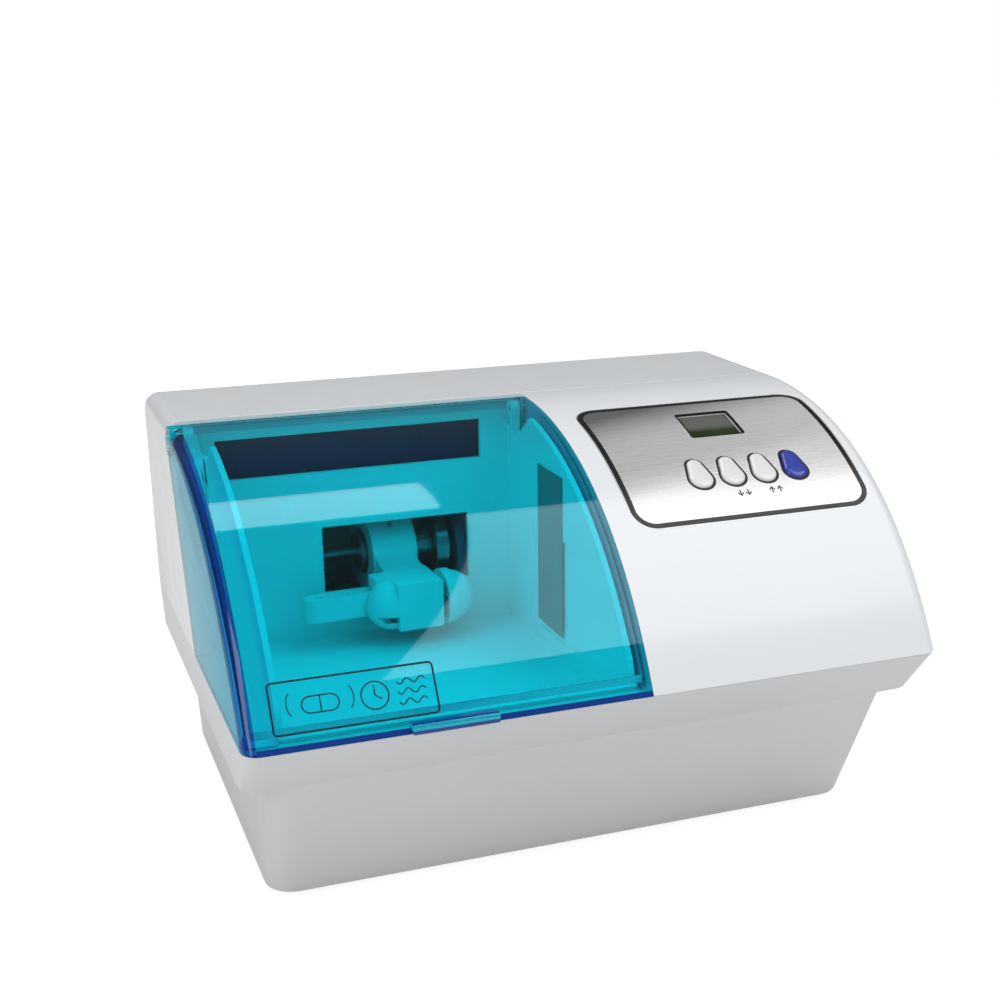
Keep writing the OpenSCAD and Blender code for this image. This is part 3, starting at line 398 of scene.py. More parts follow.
def moulded_group():
    """Masks of a moulded face: a wide cloud, uneven gloss, fine grain, and dust on what faces up."""
    tree, given, result = new_group("moulded_face", [("Grain", "NodeSocketFloat", 1400.0)],
                                    ["Cloud", "Gloss", "Height", "Dust"])

    def mask(scale, detail, lo=0.3, hi=0.7):
        return range_node(tree, noise_node(tree, scale, detail), lo, hi)

    tree.links.new(mask(9.0, 3.0), result["Cloud"])
    tree.links.new(mask(55.0, 4.0), result["Gloss"])
    tree.links.new(mask(given["Grain"], 3.0, 0.0, 1.0), result["Height"])
    split = tree.nodes.new("ShaderNodeSeparateXYZ")
    tree.links.new(tree.nodes.new("ShaderNodeNewGeometry").outputs["Normal"], split.inputs[0])
    up = range_node(tree, split.outputs["Z"], 0.55, 1.0)
    tree.links.new(math_node(tree, "MULTIPLY", up, mask(170.0, 6.0, 0.52, 0.85)), result["Dust"])
    return tree


def tooled_group():
    """Masks of a machined face: lines drawn out along one way, and a wide stain."""
    tree, given, result = new_group("tooled_face", [("Stretch", "NodeSocketVector", (1.0, 12.0, 12.0))],
                                    ["Lines", "Stain"])
    lines, stain = noise_node(tree, 900.0, 4.0, given["Stretch"]), noise_node(tree, 40.0, 3.0)
    tree.links.new(range_node(tree, lines, 0.3, 0.7), result["Lines"])
    tree.links.new(range_node(tree, stain, 0.3, 0.7), result["Stain"])
    return tree


MOULDED = moulded_group()
TOOLED = tooled_group()
DUST_COLOUR = (0.6, 0.59, 0.56)


def darker(color, share):
    return tuple(c * share for c in color)


def plastic(name, color, rough=0.3, tint=0.03, grain=1400.0, bump=0.05, coat=0.0, dust=0.05, ior=1.48):
    """Moulded plastic."""
    p = Paint(name)
    g = p.group(MOULDED, Grain=grain)
    base = p.mix(g["Cloud"], darker(color, 1 - tint), color)
    p.set(Base_Color=p.mix(p.math("MULTIPLY", g["Dust"], dust), base, DUST_COLOUR), IOR=ior)
    p.set(Roughness=p.ramp(g["Gloss"], 0.0, 1.0, rough * 0.88, rough * 1.12))
    if coat:
        p.set(Coat_Weight=coat, Coat_Roughness=0.08)
    p.bump(g["Height"], bump)
    return p.mat


def metal(name, color, rough=0.3, stretch=(1.0, 12.0, 12.0), metallic=1.0):
    """Worked metal with fine lines left by the tool."""
    p = Paint(name)
    g = p.group(TOOLED, Stretch=stretch)
    base = p.mix(g["Lines"], darker(color, 0.82), color)
    p.set(Base_Color=p.mix(p.math("MULTIPLY", g["Stain"], 0.18), base, darker(color, 0.6)), Metallic=metallic)
    p.set(Roughness=p.ramp(g["Lines"], 0.0, 1.0, rough * 0.8, rough * 1.25))
    p.bump(g["Lines"], 0.04)
    return p.mat


def canopy_paint(name, tint, shade, rough, ior=1.49, gloss=0.5):
    """Tinted clear plastic: it bends and mirrors what stands round it, and casts a pale shadow."""
    p = Paint(name)
    g = p.group(MOULDED, Grain=900.0)
    p.set(Base_Color=p.mix(g["Cloud"], darker(tint, 0.98), tint))
    p.set(Roughness=p.ramp(g["Gloss"], 0.0, 1.0, rough * 0.7, rough * 1.3))
    p.set(Transmission_Weight=1.0, IOR=ior, Specular_IOR_Level=gloss)
    pale = p.node("ShaderNodeBsdfTransparent")
    pale.inputs["Color"].default_value = (*shade, 1.0)
    p.cover(p.node("ShaderNodeLightPath").outputs["Is Shadow Ray"], pale)
    return p.mat


def wear(obj, *mats):
    """Gives an object these materials and no others."""
    obj.data.materials.clear()
    for m in mats:
        obj.data.materials.append(m)


WHITE = plastic("abs_white", (0.86, 0.885, 0.91), 0.2, 0.02, 1500.0, 0.03, coat=0.3)
TUB = plastic("abs_grey", (0.74, 0.75, 0.765), 0.33, 0.03, 1700.0, 0.07)
LINER = plastic("liner_white", (0.86, 0.87, 0.88), 0.4, 0.025, 1500.0, 0.06)
ARM = plastic("arm_white", (0.88, 0.885, 0.885), 0.34, 0.03, 1300.0, 0.07)
BLACK = plastic("plastic_black", (0.018, 0.018, 0.02), 0.42, 0.2, 1600.0, 0.1)
RUBBER = plastic("rubber_black", (0.022, 0.022, 0.023), 0.75, 0.25, 700.0, 0.22)
BOARD = plastic("board_green", (0.02, 0.14, 0.06), 0.35, 0.3, 2400.0, 0.06)
KEY = plastic("key_white", (0.82, 0.83, 0.84), 0.22, 0.02, 1500.0, 0.03, coat=0.4)
KEY_BLUE = plastic("key_blue", (0.03, 0.06, 0.42), 0.2, 0.08, 1500.0, 0.03, coat=0.5)
FRAME_PAINT = plastic("frame_paint", (0.14, 0.22, 0.33), 0.45, 0.12, 900.0, 0.18)
MOTOR_PAINT = plastic("motor_paint", (0.035, 0.05, 0.085), 0.4, 0.2, 1000.0, 0.12)
CORE = metal("core_steel", (0.1, 0.09, 0.085), 0.5, (1.0, 40.0, 1.0), 0.6)
STEEL = metal("ground_steel", (0.6, 0.61, 0.63), 0.28, (1.0, 14.0, 14.0))
ZINC = metal("plated_steel", (0.68, 0.69, 0.71), 0.22, (6.0, 6.0, 6.0))

finish = {
    "chamber_liner": LINER, "rubber_feet": RUBBER, "case_screws": ZINC, "display_module": BOARD,
    "control_board": BOARD, "tact_switches": BLACK, "board_screws": ZINC, "hinge_pins": STEEL,
    "lid_switch": BLACK, "chassis_frame": FRAME_PAINT, "isolator_bushes": RUBBER, "chassis_screws": ZINC,
    "shaft_bearings": STEEL, "motor_can": MOTOR_PAINT, "motor_screws": ZINC, "drive_shaft": STEEL,
    "skew_journal": STEEL, "journal_screw": BLACK, "flywheel": STEEL, "journal_bearings": STEEL,
    "rocker_arm": ARM, "arm_cap": ARM, "cap_screws": ZINC, "clip_slider": ARM, "clip_spring": STEEL,
    "steady_spring": STEEL, "transformer": CORE, "mains_inlet": BLACK, "inlet_screws": ZINC,
    "switch_frame": BLACK, "switch_rocker": BLACK, "fuse_holder": BLACK, "fuse_cap": BLACK,
}
for name, mat in finish.items():
    wear(nodes[name], mat)

# ---------------------------------------------------------------- upper shell
def slant(s, off):
    """A point s up the canopy's slanted rear edge from its foot, and off to the rear of it."""
    d = (AXLE[0] - FOOT[0], AXLE[1] - FOOT[1])
    n = math.hypot(*d)
    return FOOT[0] + d[0] / n * s + d[1] / n * off, FOOT[1] + d[1] / n * s - d[0] / n * off


SLANT = math.dist(AXLE, FOOT)


def canopy_room(gap):
    """Side view of the room that the canopy takes, with the circle round its hinge."""
    r = AXLE_R + gap
    pts = [(-30.0, 40.0), slant(-45, gap)]
    away = math.atan2(slant(SLANT, gap)[1] - AXLE[1], slant(SLANT, gap)[0] - AXLE[0])
    a0 = away - math.acos(gap / r)
    turns = [a0 - a0 * k / 14 for k in range(15)]
    pts += [(AXLE[0] + r * math.cos(a), AXLE[1] + r * math.sin(a)) for a in turns]
    pts += [(AXLE[0] + r, 215.0), (-30.0, 215.0)]
    return pts


def place(obj, x, t):
    """Moves a mesh drawn flat, X across and Y up the slope, onto the curved front."""
    p, u = curve(t), along(t)
    for v in obj.data.vertices:
        a, b, c = v.co
        v.co = (x * MM + a, (p[0] + FRONT) * MM - u[0] * b + u[1] * c, p[1] * MM - u[1] * b - u[0] * c)
    return obj


def drop_outline(grow=0.0, n=14):
    """A key's teardrop in millimetres, round end down, widened all round."""
    r1, r2, length, d = KEY_R1 + grow, KEY_R2 + grow, KEY_LEN, KEY_LEN - KEY_R1 - KEY_R2
    a = math.asin((r1 - r2) / d)
    y1 = -length / 2 + r1
    pts = [(r1 * math.cos(w), y1 + r1 * math.sin(w))
           for w in [a - (math.pi + 2 * a) * k / n for k in range(n + 1)]]
    pts += [(r2 * math.cos(w), y1 + d + r2 * math.sin(w))
            for w in [math.pi - a - (math.pi - 2 * a) * k / n for k in range(n + 1)]]
    return pts


def flat_solid(name, outline, z0, z1):
    """An outline of (x, y) drawn up from z0 to z1, round the origin."""
    return loft(name, [[(x, y, z) for x, y in outline] for z in (z0, z1)], 0.0)


def rect(w, h):
    """The outline of a rectangle round the origin."""
    return [(-w / 2, -h / 2), (w / 2, -h / 2), (w / 2, h / 2), (-w / 2, h / 2)]


# Keys and display: places across, t on the curve, and sizes
BUTTON_X, KEY_PITCH, BUTTON_T = [65.0, 80.4, 95.8, 111.2], 15.4, 0.45
KEY_R1, KEY_R2, KEY_LEN, KEY_GAP = 5.3, 3.4, 17.0, 0.4
LCD_T, LCD_X, LCD_W, LCD_L = 0.268, 85.5, 25.0, 19.5
# The printed film: left, right, t at top and foot, corner radius, thickness, and millimetres of curve per t
PANEL, PANEL_R, FILM_T, PANEL_RATE = (26.0, 141.0, 0.155, 0.6), 11.0, 0.8, 190


def panel_sheet(name, d0, d1, grow):
    """The panel's own sheet on the curved front, between two depths, with round corners."""
    x0, x1 = PANEL[0] - grow, PANEL[1] + grow
    t0, t1 = PANEL[2] - grow / PANEL_RATE, PANEL[3] + grow / PANEL_RATE
    n = 30
    ts = [t0 + (t1 - t0) * i / n for i in range(n + 1)]
    sheet = prism(name, [inset(t, d0) for t in ts] + [inset(t, d1) for t in reversed(ts)], x0, x1)
    r = PANEL_R + grow
    arc = [(r - r * math.cos(k * math.pi / 24), r - r * math.sin(k * math.pi / 24)) for k in range(13)]
    shape = [(-1.0, -1.0), (r, -1.0)] + arc[::-1] + [(-1.0, r)]
    corners = []
    for x, t, sx, sy in ((x0, t0, 1, -1), (x0, t1, 1, 1), (x1, t0, -1, -1), (x1, t1, -1, 1)):
        corners.append(place(flat_solid("corner", [(sx * a, sy * b) for a, b in shape], -3.5, 4.5), x, t))
    return combine(sheet, corners)


def face_holes(gap):
    """Cutters for the keys and the display window."""
    tools = [place(flat_solid("hole", drop_outline(grow=gap), -6.0, 5.0), x, BUTTON_T) for x in BUTTON_X]
    tools.append(place(flat_solid("hole", rect(LCD_W, LCD_L), -6.0, 5.0), LCD_X, LCD_T))
    return tools


def hollow_view(depth, bottom):
    """The room behind the chamber's back wall."""
    return [(CREASE[0], bottom), (CREASE[0], TOP - depth)] + rear_view(depth, bottom)


def make_shell():
    """The upper housing: hollow, open round the canopy, with groove, vents, film recess and key holes."""
    shell = trim_below(skin("shell_upper", 0.0, EDGE_R, TRIM_Z), RIM_Z)
    chamber = [(-30, 40), (164, 40), (164, 177.2), (154, 177.2), (154, 215), (-30, 215)]
    tools = [
        skin("hollow_right", WALL, EDGE_R - WALL, CUT_Z, left=SPLIT + WALL),
        skin("hollow_rear", WALL, EDGE_R - WALL, CUT_Z, right=SPLIT + WALL + 0.5, view=hollow_view),
        prism("canopy_room", canopy_room(0.5), OUT_X, SPLIT),
        prism("chamber_room", chamber, -136.0, SPLIT),
        block("groove", (-151, 156.0, 179.3), (151, 157.6, 182)),
    ]
    tools += [block("vent", (x - 1.5, 226, 112), (x + 1.5, 240, 152)) for x in range(40, 121, 8)]
    tools.append(panel_sheet("recess", -3.0, 0.95, 0.1))
    tools += face_holes(KEY_GAP)
    combine(shell, tools)
    fair(shell, [(0.0, EDGE_R, 1)])
    wear(shell, WHITE)
    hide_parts("top_shell")
    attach(shell, "housing")


make_shell()


# ---------------------------------------------------------------- control panel
def panel_paint():
    """Brushed silver film with a printed border, a window frame and a ring round each key, and a painted
    reflection that brightens it towards the lower right.
    """
    p = Paint("panel_film")
    uv = p.node("ShaderNodeUVMap")
    uv.uv_map = "front"
    split = p.node("ShaderNodeSeparateXYZ")
    p.tree.links.new(uv.outputs[0], split.inputs[0])

    def add(a, b):
        return p.math("ADD", a, b)

    def sub(a, b):
        return p.math("SUBTRACT", a, b)

    def mul(a, b):
        return p.math("MULTIPLY", a, b)

    def reach(a, b):
        return p.math("SQRT", add(mul(a, a), mul(b, b)))

    # Millimetres across, and down from the crease
    u, v = mul(split.outputs[0], 1000.0), mul(split.outputs[1], 1000.0)
    top, foot = arc_at(PANEL[2]), arc_at(PANEL[3])

    def box(cx, cy, hx, hy, r):
        """Distance to a box with round corners."""
        qx = sub(p.math("ABSOLUTE", sub(u, cx)), hx - r)
        qy = sub(p.math("ABSOLUTE", sub(v, cy)), hy - r)
        far = reach(p.math("MAXIMUM", qx, 0.0), p.math("MAXIMUM", qy, 0.0))
        near = p.math("MINIMUM", p.math("MAXIMUM", qx, qy), 0.0)
        return sub(add(far, near), r)

    def band(d, lo, hi, blur=0.06):
        """1 where the distance lies between lo and hi."""
        return mul(p.ramp(d, lo - blur, lo + blur), p.ramp(d, hi - blur, hi + blur, 1.0, 0.0))

    left, right = PANEL[:2]
    edge = box((left + right) / 2, (top + foot) / 2, (right - left) / 2, (foot - top) / 2, PANEL_R)
    border = band(edge, -3.0, -0.5)
    window = band(box(LCD_X, nearest(*curve(LCD_T))[0], LCD_W / 2, LCD_L / 2, 0.6), -1.0, 0.9)

    # Distance to a key's teardrop, folded onto one key: its round foot, its round head and its straight side
    h = KEY_LEN - KEY_R1 - KEY_R2
    b = (KEY_R1 - KEY_R2) / h
    a = math.sqrt(1 - b * b)
    fold = p.math("PINGPONG", sub(u, BUTTON_X[0] - KEY_PITCH), KEY_PITCH)
    fold = p.math("MINIMUM", fold, sub(KEY_PITCH, fold))
    rise = sub(nearest(*curve(BUTTON_T))[0] + KEY_LEN / 2 - KEY_R1, v)
    place_on_side = add(mul(fold, -b), mul(rise, a))
    low = sub(reach(fold, rise), KEY_R1)
    high = sub(reach(fold, sub(rise, h)), KEY_R2)
    side = sub(add(mul(fold, a), mul(rise, b)), KEY_R1)
    is_low = p.math("LESS_THAN", place_on_side, 0.0)
    is_high = p.math("GREATER_THAN", place_on_side, a * h)
    upper = add(mul(is_high, high), mul(sub(1.0, is_high), side))
    d = add(mul(is_low, low), mul(sub(1.0, is_low), upper))
    beside = mul(p.ramp(u, BUTTON_X[0] - 8.6, BUTTON_X[0] - 8.5),
                 p.ramp(u, BUTTON_X[3] + 8.5, BUTTON_X[3] + 8.6, 1.0, 0.0))
    ring = mul(band(d, -1.0, 1.3), beside)

    # Brushed silver with a painted reflection: it brightens towards the lower right and in broad waves, over
    # the film's own fine grain
    painted_light_slope = add(mul(sub(v, top), 0.011), mul(sub(u, left), 0.0035))
    painted_sheen_wave = mul(p.math("SINE", mul(add(v, mul(u, 0.2)), 0.11)), 0.12)
    grain = p.noise(1100.0, 4.0, (0.05, 1.0, 1.0))
    light = add(add(painted_light_slope, painted_sheen_wave), mul(sub(grain, 0.5), 0.06))
    silver = p.mix(p.ramp(light, 0.08, 0.75), (0.18, 0.185, 0.19), (0.88, 0.885, 0.89))
    ink = p.math("MAXIMUM", p.math("MAXIMUM", border, window), ring)
    p.set(Base_Color=p.mix(ink, silver, (0.01, 0.0105, 0.012)))
    p.set(Metallic=mul(sub(1.0, ink), 0.35), Coat_Weight=p.math("MULTIPLY_ADD", ink, -0.4, 0.4))
    p.set(Roughness=p.ramp(grain, 0.3, 0.7, 0.24, 0.34), Coat_Roughness=0.15)
    p.bump(grain, 0.03)
    return p.mat


def make_panel():
    """The printed film that lies in the shell's recess."""
    film = combine(panel_sheet("panel_film", 0.0, FILM_T, 0.0), face_holes(KEY_GAP))
    lay_uv(film)
    fair(film, [(0.0, 0.0, 1)])
    wear(film, panel_paint())
    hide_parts("control_overlay")
    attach(film, "housing")


make_panel()


# How far each step of a key's domed top goes in, and how far up
DOME = ((0.2, 0.32), (0.35, 0.24), (0.7, 0.16), (1.2, 0.1))


def make_key(name, x, mat, body, node):
    """A key cap: teardrop wall, softly domed top and a flange under the shell."""
    key = flat_solid(name, drop_outline(n=20), -3.4, 0.35)
    only(key)
    bpy.ops.object.mode_set(mode="EDIT")
    bpy.ops.mesh.select_mode(type="FACE")
    bpy.ops.mesh.select_all(action="DESELECT")
    bm = bmesh.from_edit_mesh(key.data)
    top = max(bm.faces, key=lambda f: f.calc_center_median().z)
    top.select = True
    bmesh.update_edit_mesh(key.data)
    for inwards, rise in DOME:
        bpy.ops.mesh.inset(thickness=inwards * MM, depth=rise * MM)
    bpy.ops.object.mode_set(mode="OBJECT")
    flange = soften(flat_solid("flange", drop_outline(grow=1.3), -4.6, -3.4), 0.2)
    only(key)
    flange.select_set(True)
    bpy.ops.object.join()
    bpy.ops.object.shade_smooth_by_angle(angle=math.radians(50))
    place(key, x, BUTTON_T)
    wear(key, mat)
    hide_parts(node)
    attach(key, body)


make_key("key_cap_mode", BUTTON_X[0], KEY, "key_mode", "button_mode")
make_key("key_cap_down", BUTTON_X[1], KEY, "key_down", "button_down")
make_key("key_cap_up", BUTTON_X[2], KEY, "key_up", "button_up")
make_key("key_cap_start", BUTTON_X[3], KEY_BLUE, "key_start", "button_start")


# ---------------------------------------------------------------- printed marks
PRINT_LIFT, PRINT_T = 0.05, 0.03


def ribbon(bm, pts, width, closed=False):
    """A printed line of that width over points (x, s) on the curved front."""
    n = len(pts)
    last = n if closed else n - 1
    sides = []
    for i in range(n):
        a = pts[(i - 1) % n] if closed or i else pts[0]
        b = pts[(i + 1) % n] if closed or i < n - 1 else pts[-1]
        d = (b[0] - a[0], b[1] - a[1])
        k = math.hypot(*d) or 1.0
        w = (-d[1] / k * width / 2, d[0] / k * width / 2)
        x, s = pts[i]
        sides.append([bm.verts.new(on_front(x + e * w[0], s + e * w[1], PRINT_LIFT)) for e in (1, -1)])
    for i in range(last):
        a, b = sides[i], sides[(i + 1) % n]
        bm.faces.new((a[0], b[0], b[1], a[1]))


def arc_pts(cx, cs, rx, rs, a0, a1, n):
    """Points on an ellipse from one angle to another, in degrees."""
    return [(cx + rx * math.cos(math.radians(a0 + (a1 - a0) * i / n)),
             cs + rs * math.sin(math.radians(a0 + (a1 - a0) * i / n))) for i in range(n + 1)]


def round_box(cx, cs, hx, hs, r):
    """A closed line round a box with round corners."""
    pts = []
    for sx, ss, a in ((1, 1, 0), (-1, 1, 90), (-1, -1, 180), (1, -1, 270)):
        pts += arc_pts(cx + sx * (hx - r), cs + ss * (hs - r), r, r, a, a + 90, 5)
    return pts + pts[:1]


def fill_line(pts, step=2.5):
    """Extra points along a line so that it hugs the curve."""
    out = []
    for a, b in zip(pts, pts[1:]):
        k = max(1, int(math.dist(a, b) / step))
        out += [(a[0] + (b[0] - a[0]) * i / k, a[1] + (b[1] - a[1]) * i / k) for i in range(k)]
    return out + [pts[-1]]


def marks_solid(name, bm, mat, body):
    """Gives the printed lines the thickness of their ink."""
    obj = from_bm(name, bm)
    only(obj)
    m = obj.modifiers.new("ink", "SOLIDIFY")
    m.thickness = PRINT_T * MM
    m.offset = 0
    bpy.ops.object.modifier_apply(modifier=m.name)
    wear(obj, mat)
    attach(obj, body)


INK_BLUE = plastic("ink_blue", (0.0, 0.03, 0.055), 0.5, 0.1, 1500.0, 0.02)
INK_GREY = plastic("ink_grey", (0.03, 0.03, 0.035), 0.5, 0.1, 1500.0, 0.02)


def make_decal():
    """The canopy's printed frame, with a lying pill, a dial with two hands, and three ripples in it."""
    bm = bmesh.new()
    cx, top, foot = -105.5, arc_at(0.848), arc_at(0.962)
    cs = (top + foot) / 2
    ribbon(bm, fill_line(round_box(cx, cs, 32.0, (foot - top) / 2, 1.6)), 0.8)
    pill = arc_pts(cx - 17, cs, 3.2, 3.2, 90, 270, 8) + arc_pts(cx - 9, cs, 3.2, 3.2, -90, 90, 8)
    ribbon(bm, pill, 0.58, closed=True)
    ribbon(bm, [(cx - 13, cs - 3.2), (cx - 13, cs + 3.2)], 0.58)
    ribbon(bm, arc_pts(cx - 23.5, cs - 1, 2.4, 4.6, 110, 250, 8), 0.5)
    ribbon(bm, arc_pts(cx - 2.5, cs - 1, 2.4, 4.6, -70, 70, 8), 0.5)
    ribbon(bm, arc_pts(cx + 8, cs, 5.4, 5.4, 0, 345, 20), 0.62, closed=True)
    for end in ((cx + 8, cs - 4), (cx + 10.8, cs + 1.6)):
        ribbon(bm, [(cx + 8, cs), end], 0.58)
    for k in range(3):
        ribbon(bm, [(cx + 17 + i * 0.8, cs - 4 + 4 * k + 1.1 * math.sin(i * 0.9)) for i in range(15)], 0.55)
    marks_solid("canopy_print", bm, INK_BLUE, "lid")


def make_arrows():
    """A pair of arrows down and a pair up, under the two middle keys."""
    bm = bmesh.new()
    s = nearest(*curve(BUTTON_T))[0] + 13.2
    for x, way in ((BUTTON_X[1] + 1.5, 1), (BUTTON_X[2] + 1.5, -1)):
        for e in (-1.9, 1.9):
            tip = way * 1.6
            ribbon(bm, [(x + e - 1.3, s - way * 0.2), (x + e, s + tip), (x + e + 1.3, s - way * 0.2)], 0.58)
            ribbon(bm, [(x + e, s + tip * 0.7), (x + e, s - tip)], 0.58)
    marks_solid("panel_arrows", bm, INK_GREY, "housing")


make_decal()
make_arrows()


def lens_paint():
    """The dark green display, with a painted reflection that pales it to grey towards its upper edge."""
    p = Paint("display_green")
    cloud = p.ramp(p.noise(60.0, 3.0), 0.3, 0.7)
    split = p.node("ShaderNodeSeparateXYZ")
    p.tree.links.new(p.node("ShaderNodeTexCoord").outputs["Object"], split.inputs[0])
    low, high = (v.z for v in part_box("display_lens"))
    # Painted reflection: the upper part of the display is mixed to a pale grey, standing in for reflected
    # light
    rise = p.ramp(split.outputs[2], low + (high - low) * 0.44, low + (high - low) * 0.6)
    glass = p.mix(cloud, (0.016, 0.03, 0.006), (0.03, 0.052, 0.014))
    p.set(Base_Color=p.mix(rise, glass, (0.13, 0.135, 0.12)))
    p.set(Roughness=p.ramp(cloud, 0.0, 1.0, 0.3, 0.38), IOR=1.3)
    return p.mat


wear(nodes["display_lens"], lens_paint())


def make_shade_plate():
    """A dark sheet set upright on the chamber's right-hand wall: painted shade where the wall only lies in
    shade.
    """
    # Painted shade: this dark grey sheet stands in for the shade on the chamber's right wall
    plate = soften(block("painted_shade_plate", (7.5, 83.0, 83.0), (8.0, 113.0, 156.0)), 0.2)
    wear(plate, plastic("painted_shade_grey", (0.2, 0.21, 0.22), 0.4, 0.1, 1500.0, 0.05))
    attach(plate, "housing")


make_shade_plate()


def make_slot_shade():
    """A dark sheet that stands behind the vent slot: painted shade for the unlit room behind it."""
    # Painted shade: a dark sheet put behind the slot so that it reads as unlit
    screen = soften(block("painted_shade_screen", (-133.0, 161.6, 146.0), (-1.0, 162.6, 174.0)), 0.3)
    wear(screen, plastic("painted_shade_dark", (0.004, 0.03, 0.11), 0.8, 0.3, 500.0, 0.3, ior=1.05))
    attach(screen, "housing")


make_slot_shade()


# ---------------------------------------------------------------- tub
def plan(half, y0, y1, r, z, n=10):
    """A plan of the tub at a height, with round corners."""
    ring = []
    for sx, y, a in ((1, y1 - r, 0), (-1, y1 - r, 90), (-1, y0 + r, 180), (1, y0 + r, 270)):
        ring += [(sx * (half - r) + r * math.cos(math.radians(a + 90 * k / n)),
                  y + r * math.sin(math.radians(a + 90 * k / n)), z) for k in range(n + 1)]
    return ring


def seat(name, x, y, r, top):
    """Cuts a round seat from the underside up."""
    hole = loft(name, [plan(r, y - r, y + r, r - 0.01, z) for z in (0, top)])
    for v in hole.data.vertices:
        v.co.x += x * MM
    return hole


def make_tub():
    """The lower housing: stepped wall, raked rim band, rear cut-outs and vents, seats for feet and screws."""
    tub = loft("tub_lower", [
        # The foot, rounded under, and the wall that leans out
        plan(134.6, 47.6, 230.6, 11.6, 1.5), plan(135.6, 46.4, 231.6, 12.6, 2.1),
        plan(136.0, 45.6, 232, 13, 3.4), plan(139, 19.6, 232, 13, 61.6),
        # The step out to the raked band, and its rim
        plan(139.6, 19.0, 232, 12, 62.8), plan(148.4, 19.0, 232, 7, 63.0), plan(149.0, 18.6, 232, 7, 63.5),
        plan(149.9, 0.9, 232, 7, 85.3), plan(149.8, 0.6, 231.8, 7, 85.9), plan(149.2, 1.2, 231.3, 6.6, 86.0)])
    tools = [
        loft("tub_inside", [plan(133.2, 48.8, 229.2, 10.2, 4.3), plan(136.2, 21.8, 229.2, 10.2, 66.2)]),
        loft("rim_inside", [plan(146.2, 22.4, 229.2, 4.2, 65.8), plan(147.2, 1.8, 229.2, 4.2, 87.0)]),
        block("inlet_hole", (-112.7, 222, 25.8), (-85.3, 240, 46.2)),
        block("switch_hole", (-49.5, 222, 26.5), (-22.5, 240, 45.5)),
    ]
    tools.append(loft("fuse_hole", [[(x, y, z) for x, z in round_ring(4, 36, 6.2)] for y in (222, 240)]))
    tools += [block("vent", (x - 1.25, 226, 22), (x + 1.25, 240, 56)) for x in range(52, 113, 6)]
    tools += [seat("foot_seat", x, y, 9.05, 3) for x in (-112, 112) for y in (78, 204)]
    tools += [seat("screw_seat", x, y, 3.6, 13)
              for x, y in ((-124, 214), (124, 214), (124, 66), (-124, 66), (-6, 66))]
    combine(tub, tools)
    only(tub)
    bpy.ops.object.shade_smooth_by_angle(angle=math.radians(30))
    wear(tub, TUB)
    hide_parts("base_tub")
    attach(tub, "housing")


make_tub()


# ---------------------------------------------------------------- canopy
# The front lip's thickness, and how far up and how far back its dark edge reaches
LIP_T, LIP_Z, LIP_Y = 5.6, 88.4, 2.4
# The canopy's finishes, in the order in which it wears them
CLEAR, THICK, EDGE, SIDE, CHEEK = range(5)


def canopy_inside(depth, bottom):
    """What is hollow under the sheet: it leaves the thick front lip and the rolled rear edge."""
    lip = LIP_T + depth - LID_T
    pts = [(inset(1, LIP_T)[0], bottom), inset(1, lip), inset(0.962, lip)]
    sheet = [inset(0.945 - 0.945 * i / STEPS, depth) for i in range(STEPS + 1)]
    pts += [q for q in sheet if q[0] < AXLE[0] - 1]
    return pts + quarter(*AXLE, AXLE_R - depth) + [(AXLE[0] + 30, AXLE[1] - 0.01), (AXLE[0] + 30, bottom)]


def canopy_tone(face):
    """Which of the canopy's five finishes a face takes, by its place and the way it points."""
    x, y, z = face.center.x / MM, face.center.y / MM - FRONT, face.center.z / MM
    turned = abs(face.normal.x)
    depth, out = nearest(y, z)[1:]
    if z < LIP_Z and (abs(depth) < 0.3 or y < 0 or (z < 86.7 and y < LIP_Y)):
        return EDGE
    if (face.normal.x > 0.9 and x > 14.5 and depth > 2.5) or (z < 86.7 and x > -147.0):
        return SIDE
    cut_edge = turned ** 2 < 0.5 and abs(out[0] * face.normal.y + out[1] * face.normal.z) < 0.6
    round_edge = -149.7 < x < -145.2 and turned < 0.96
    if (cut_edge or round_edge) and math.dist((y, z), AXLE) >= 11:
        return THICK
    return CHEEK if turned > 0.93 and x < -147.0 else CLEAR


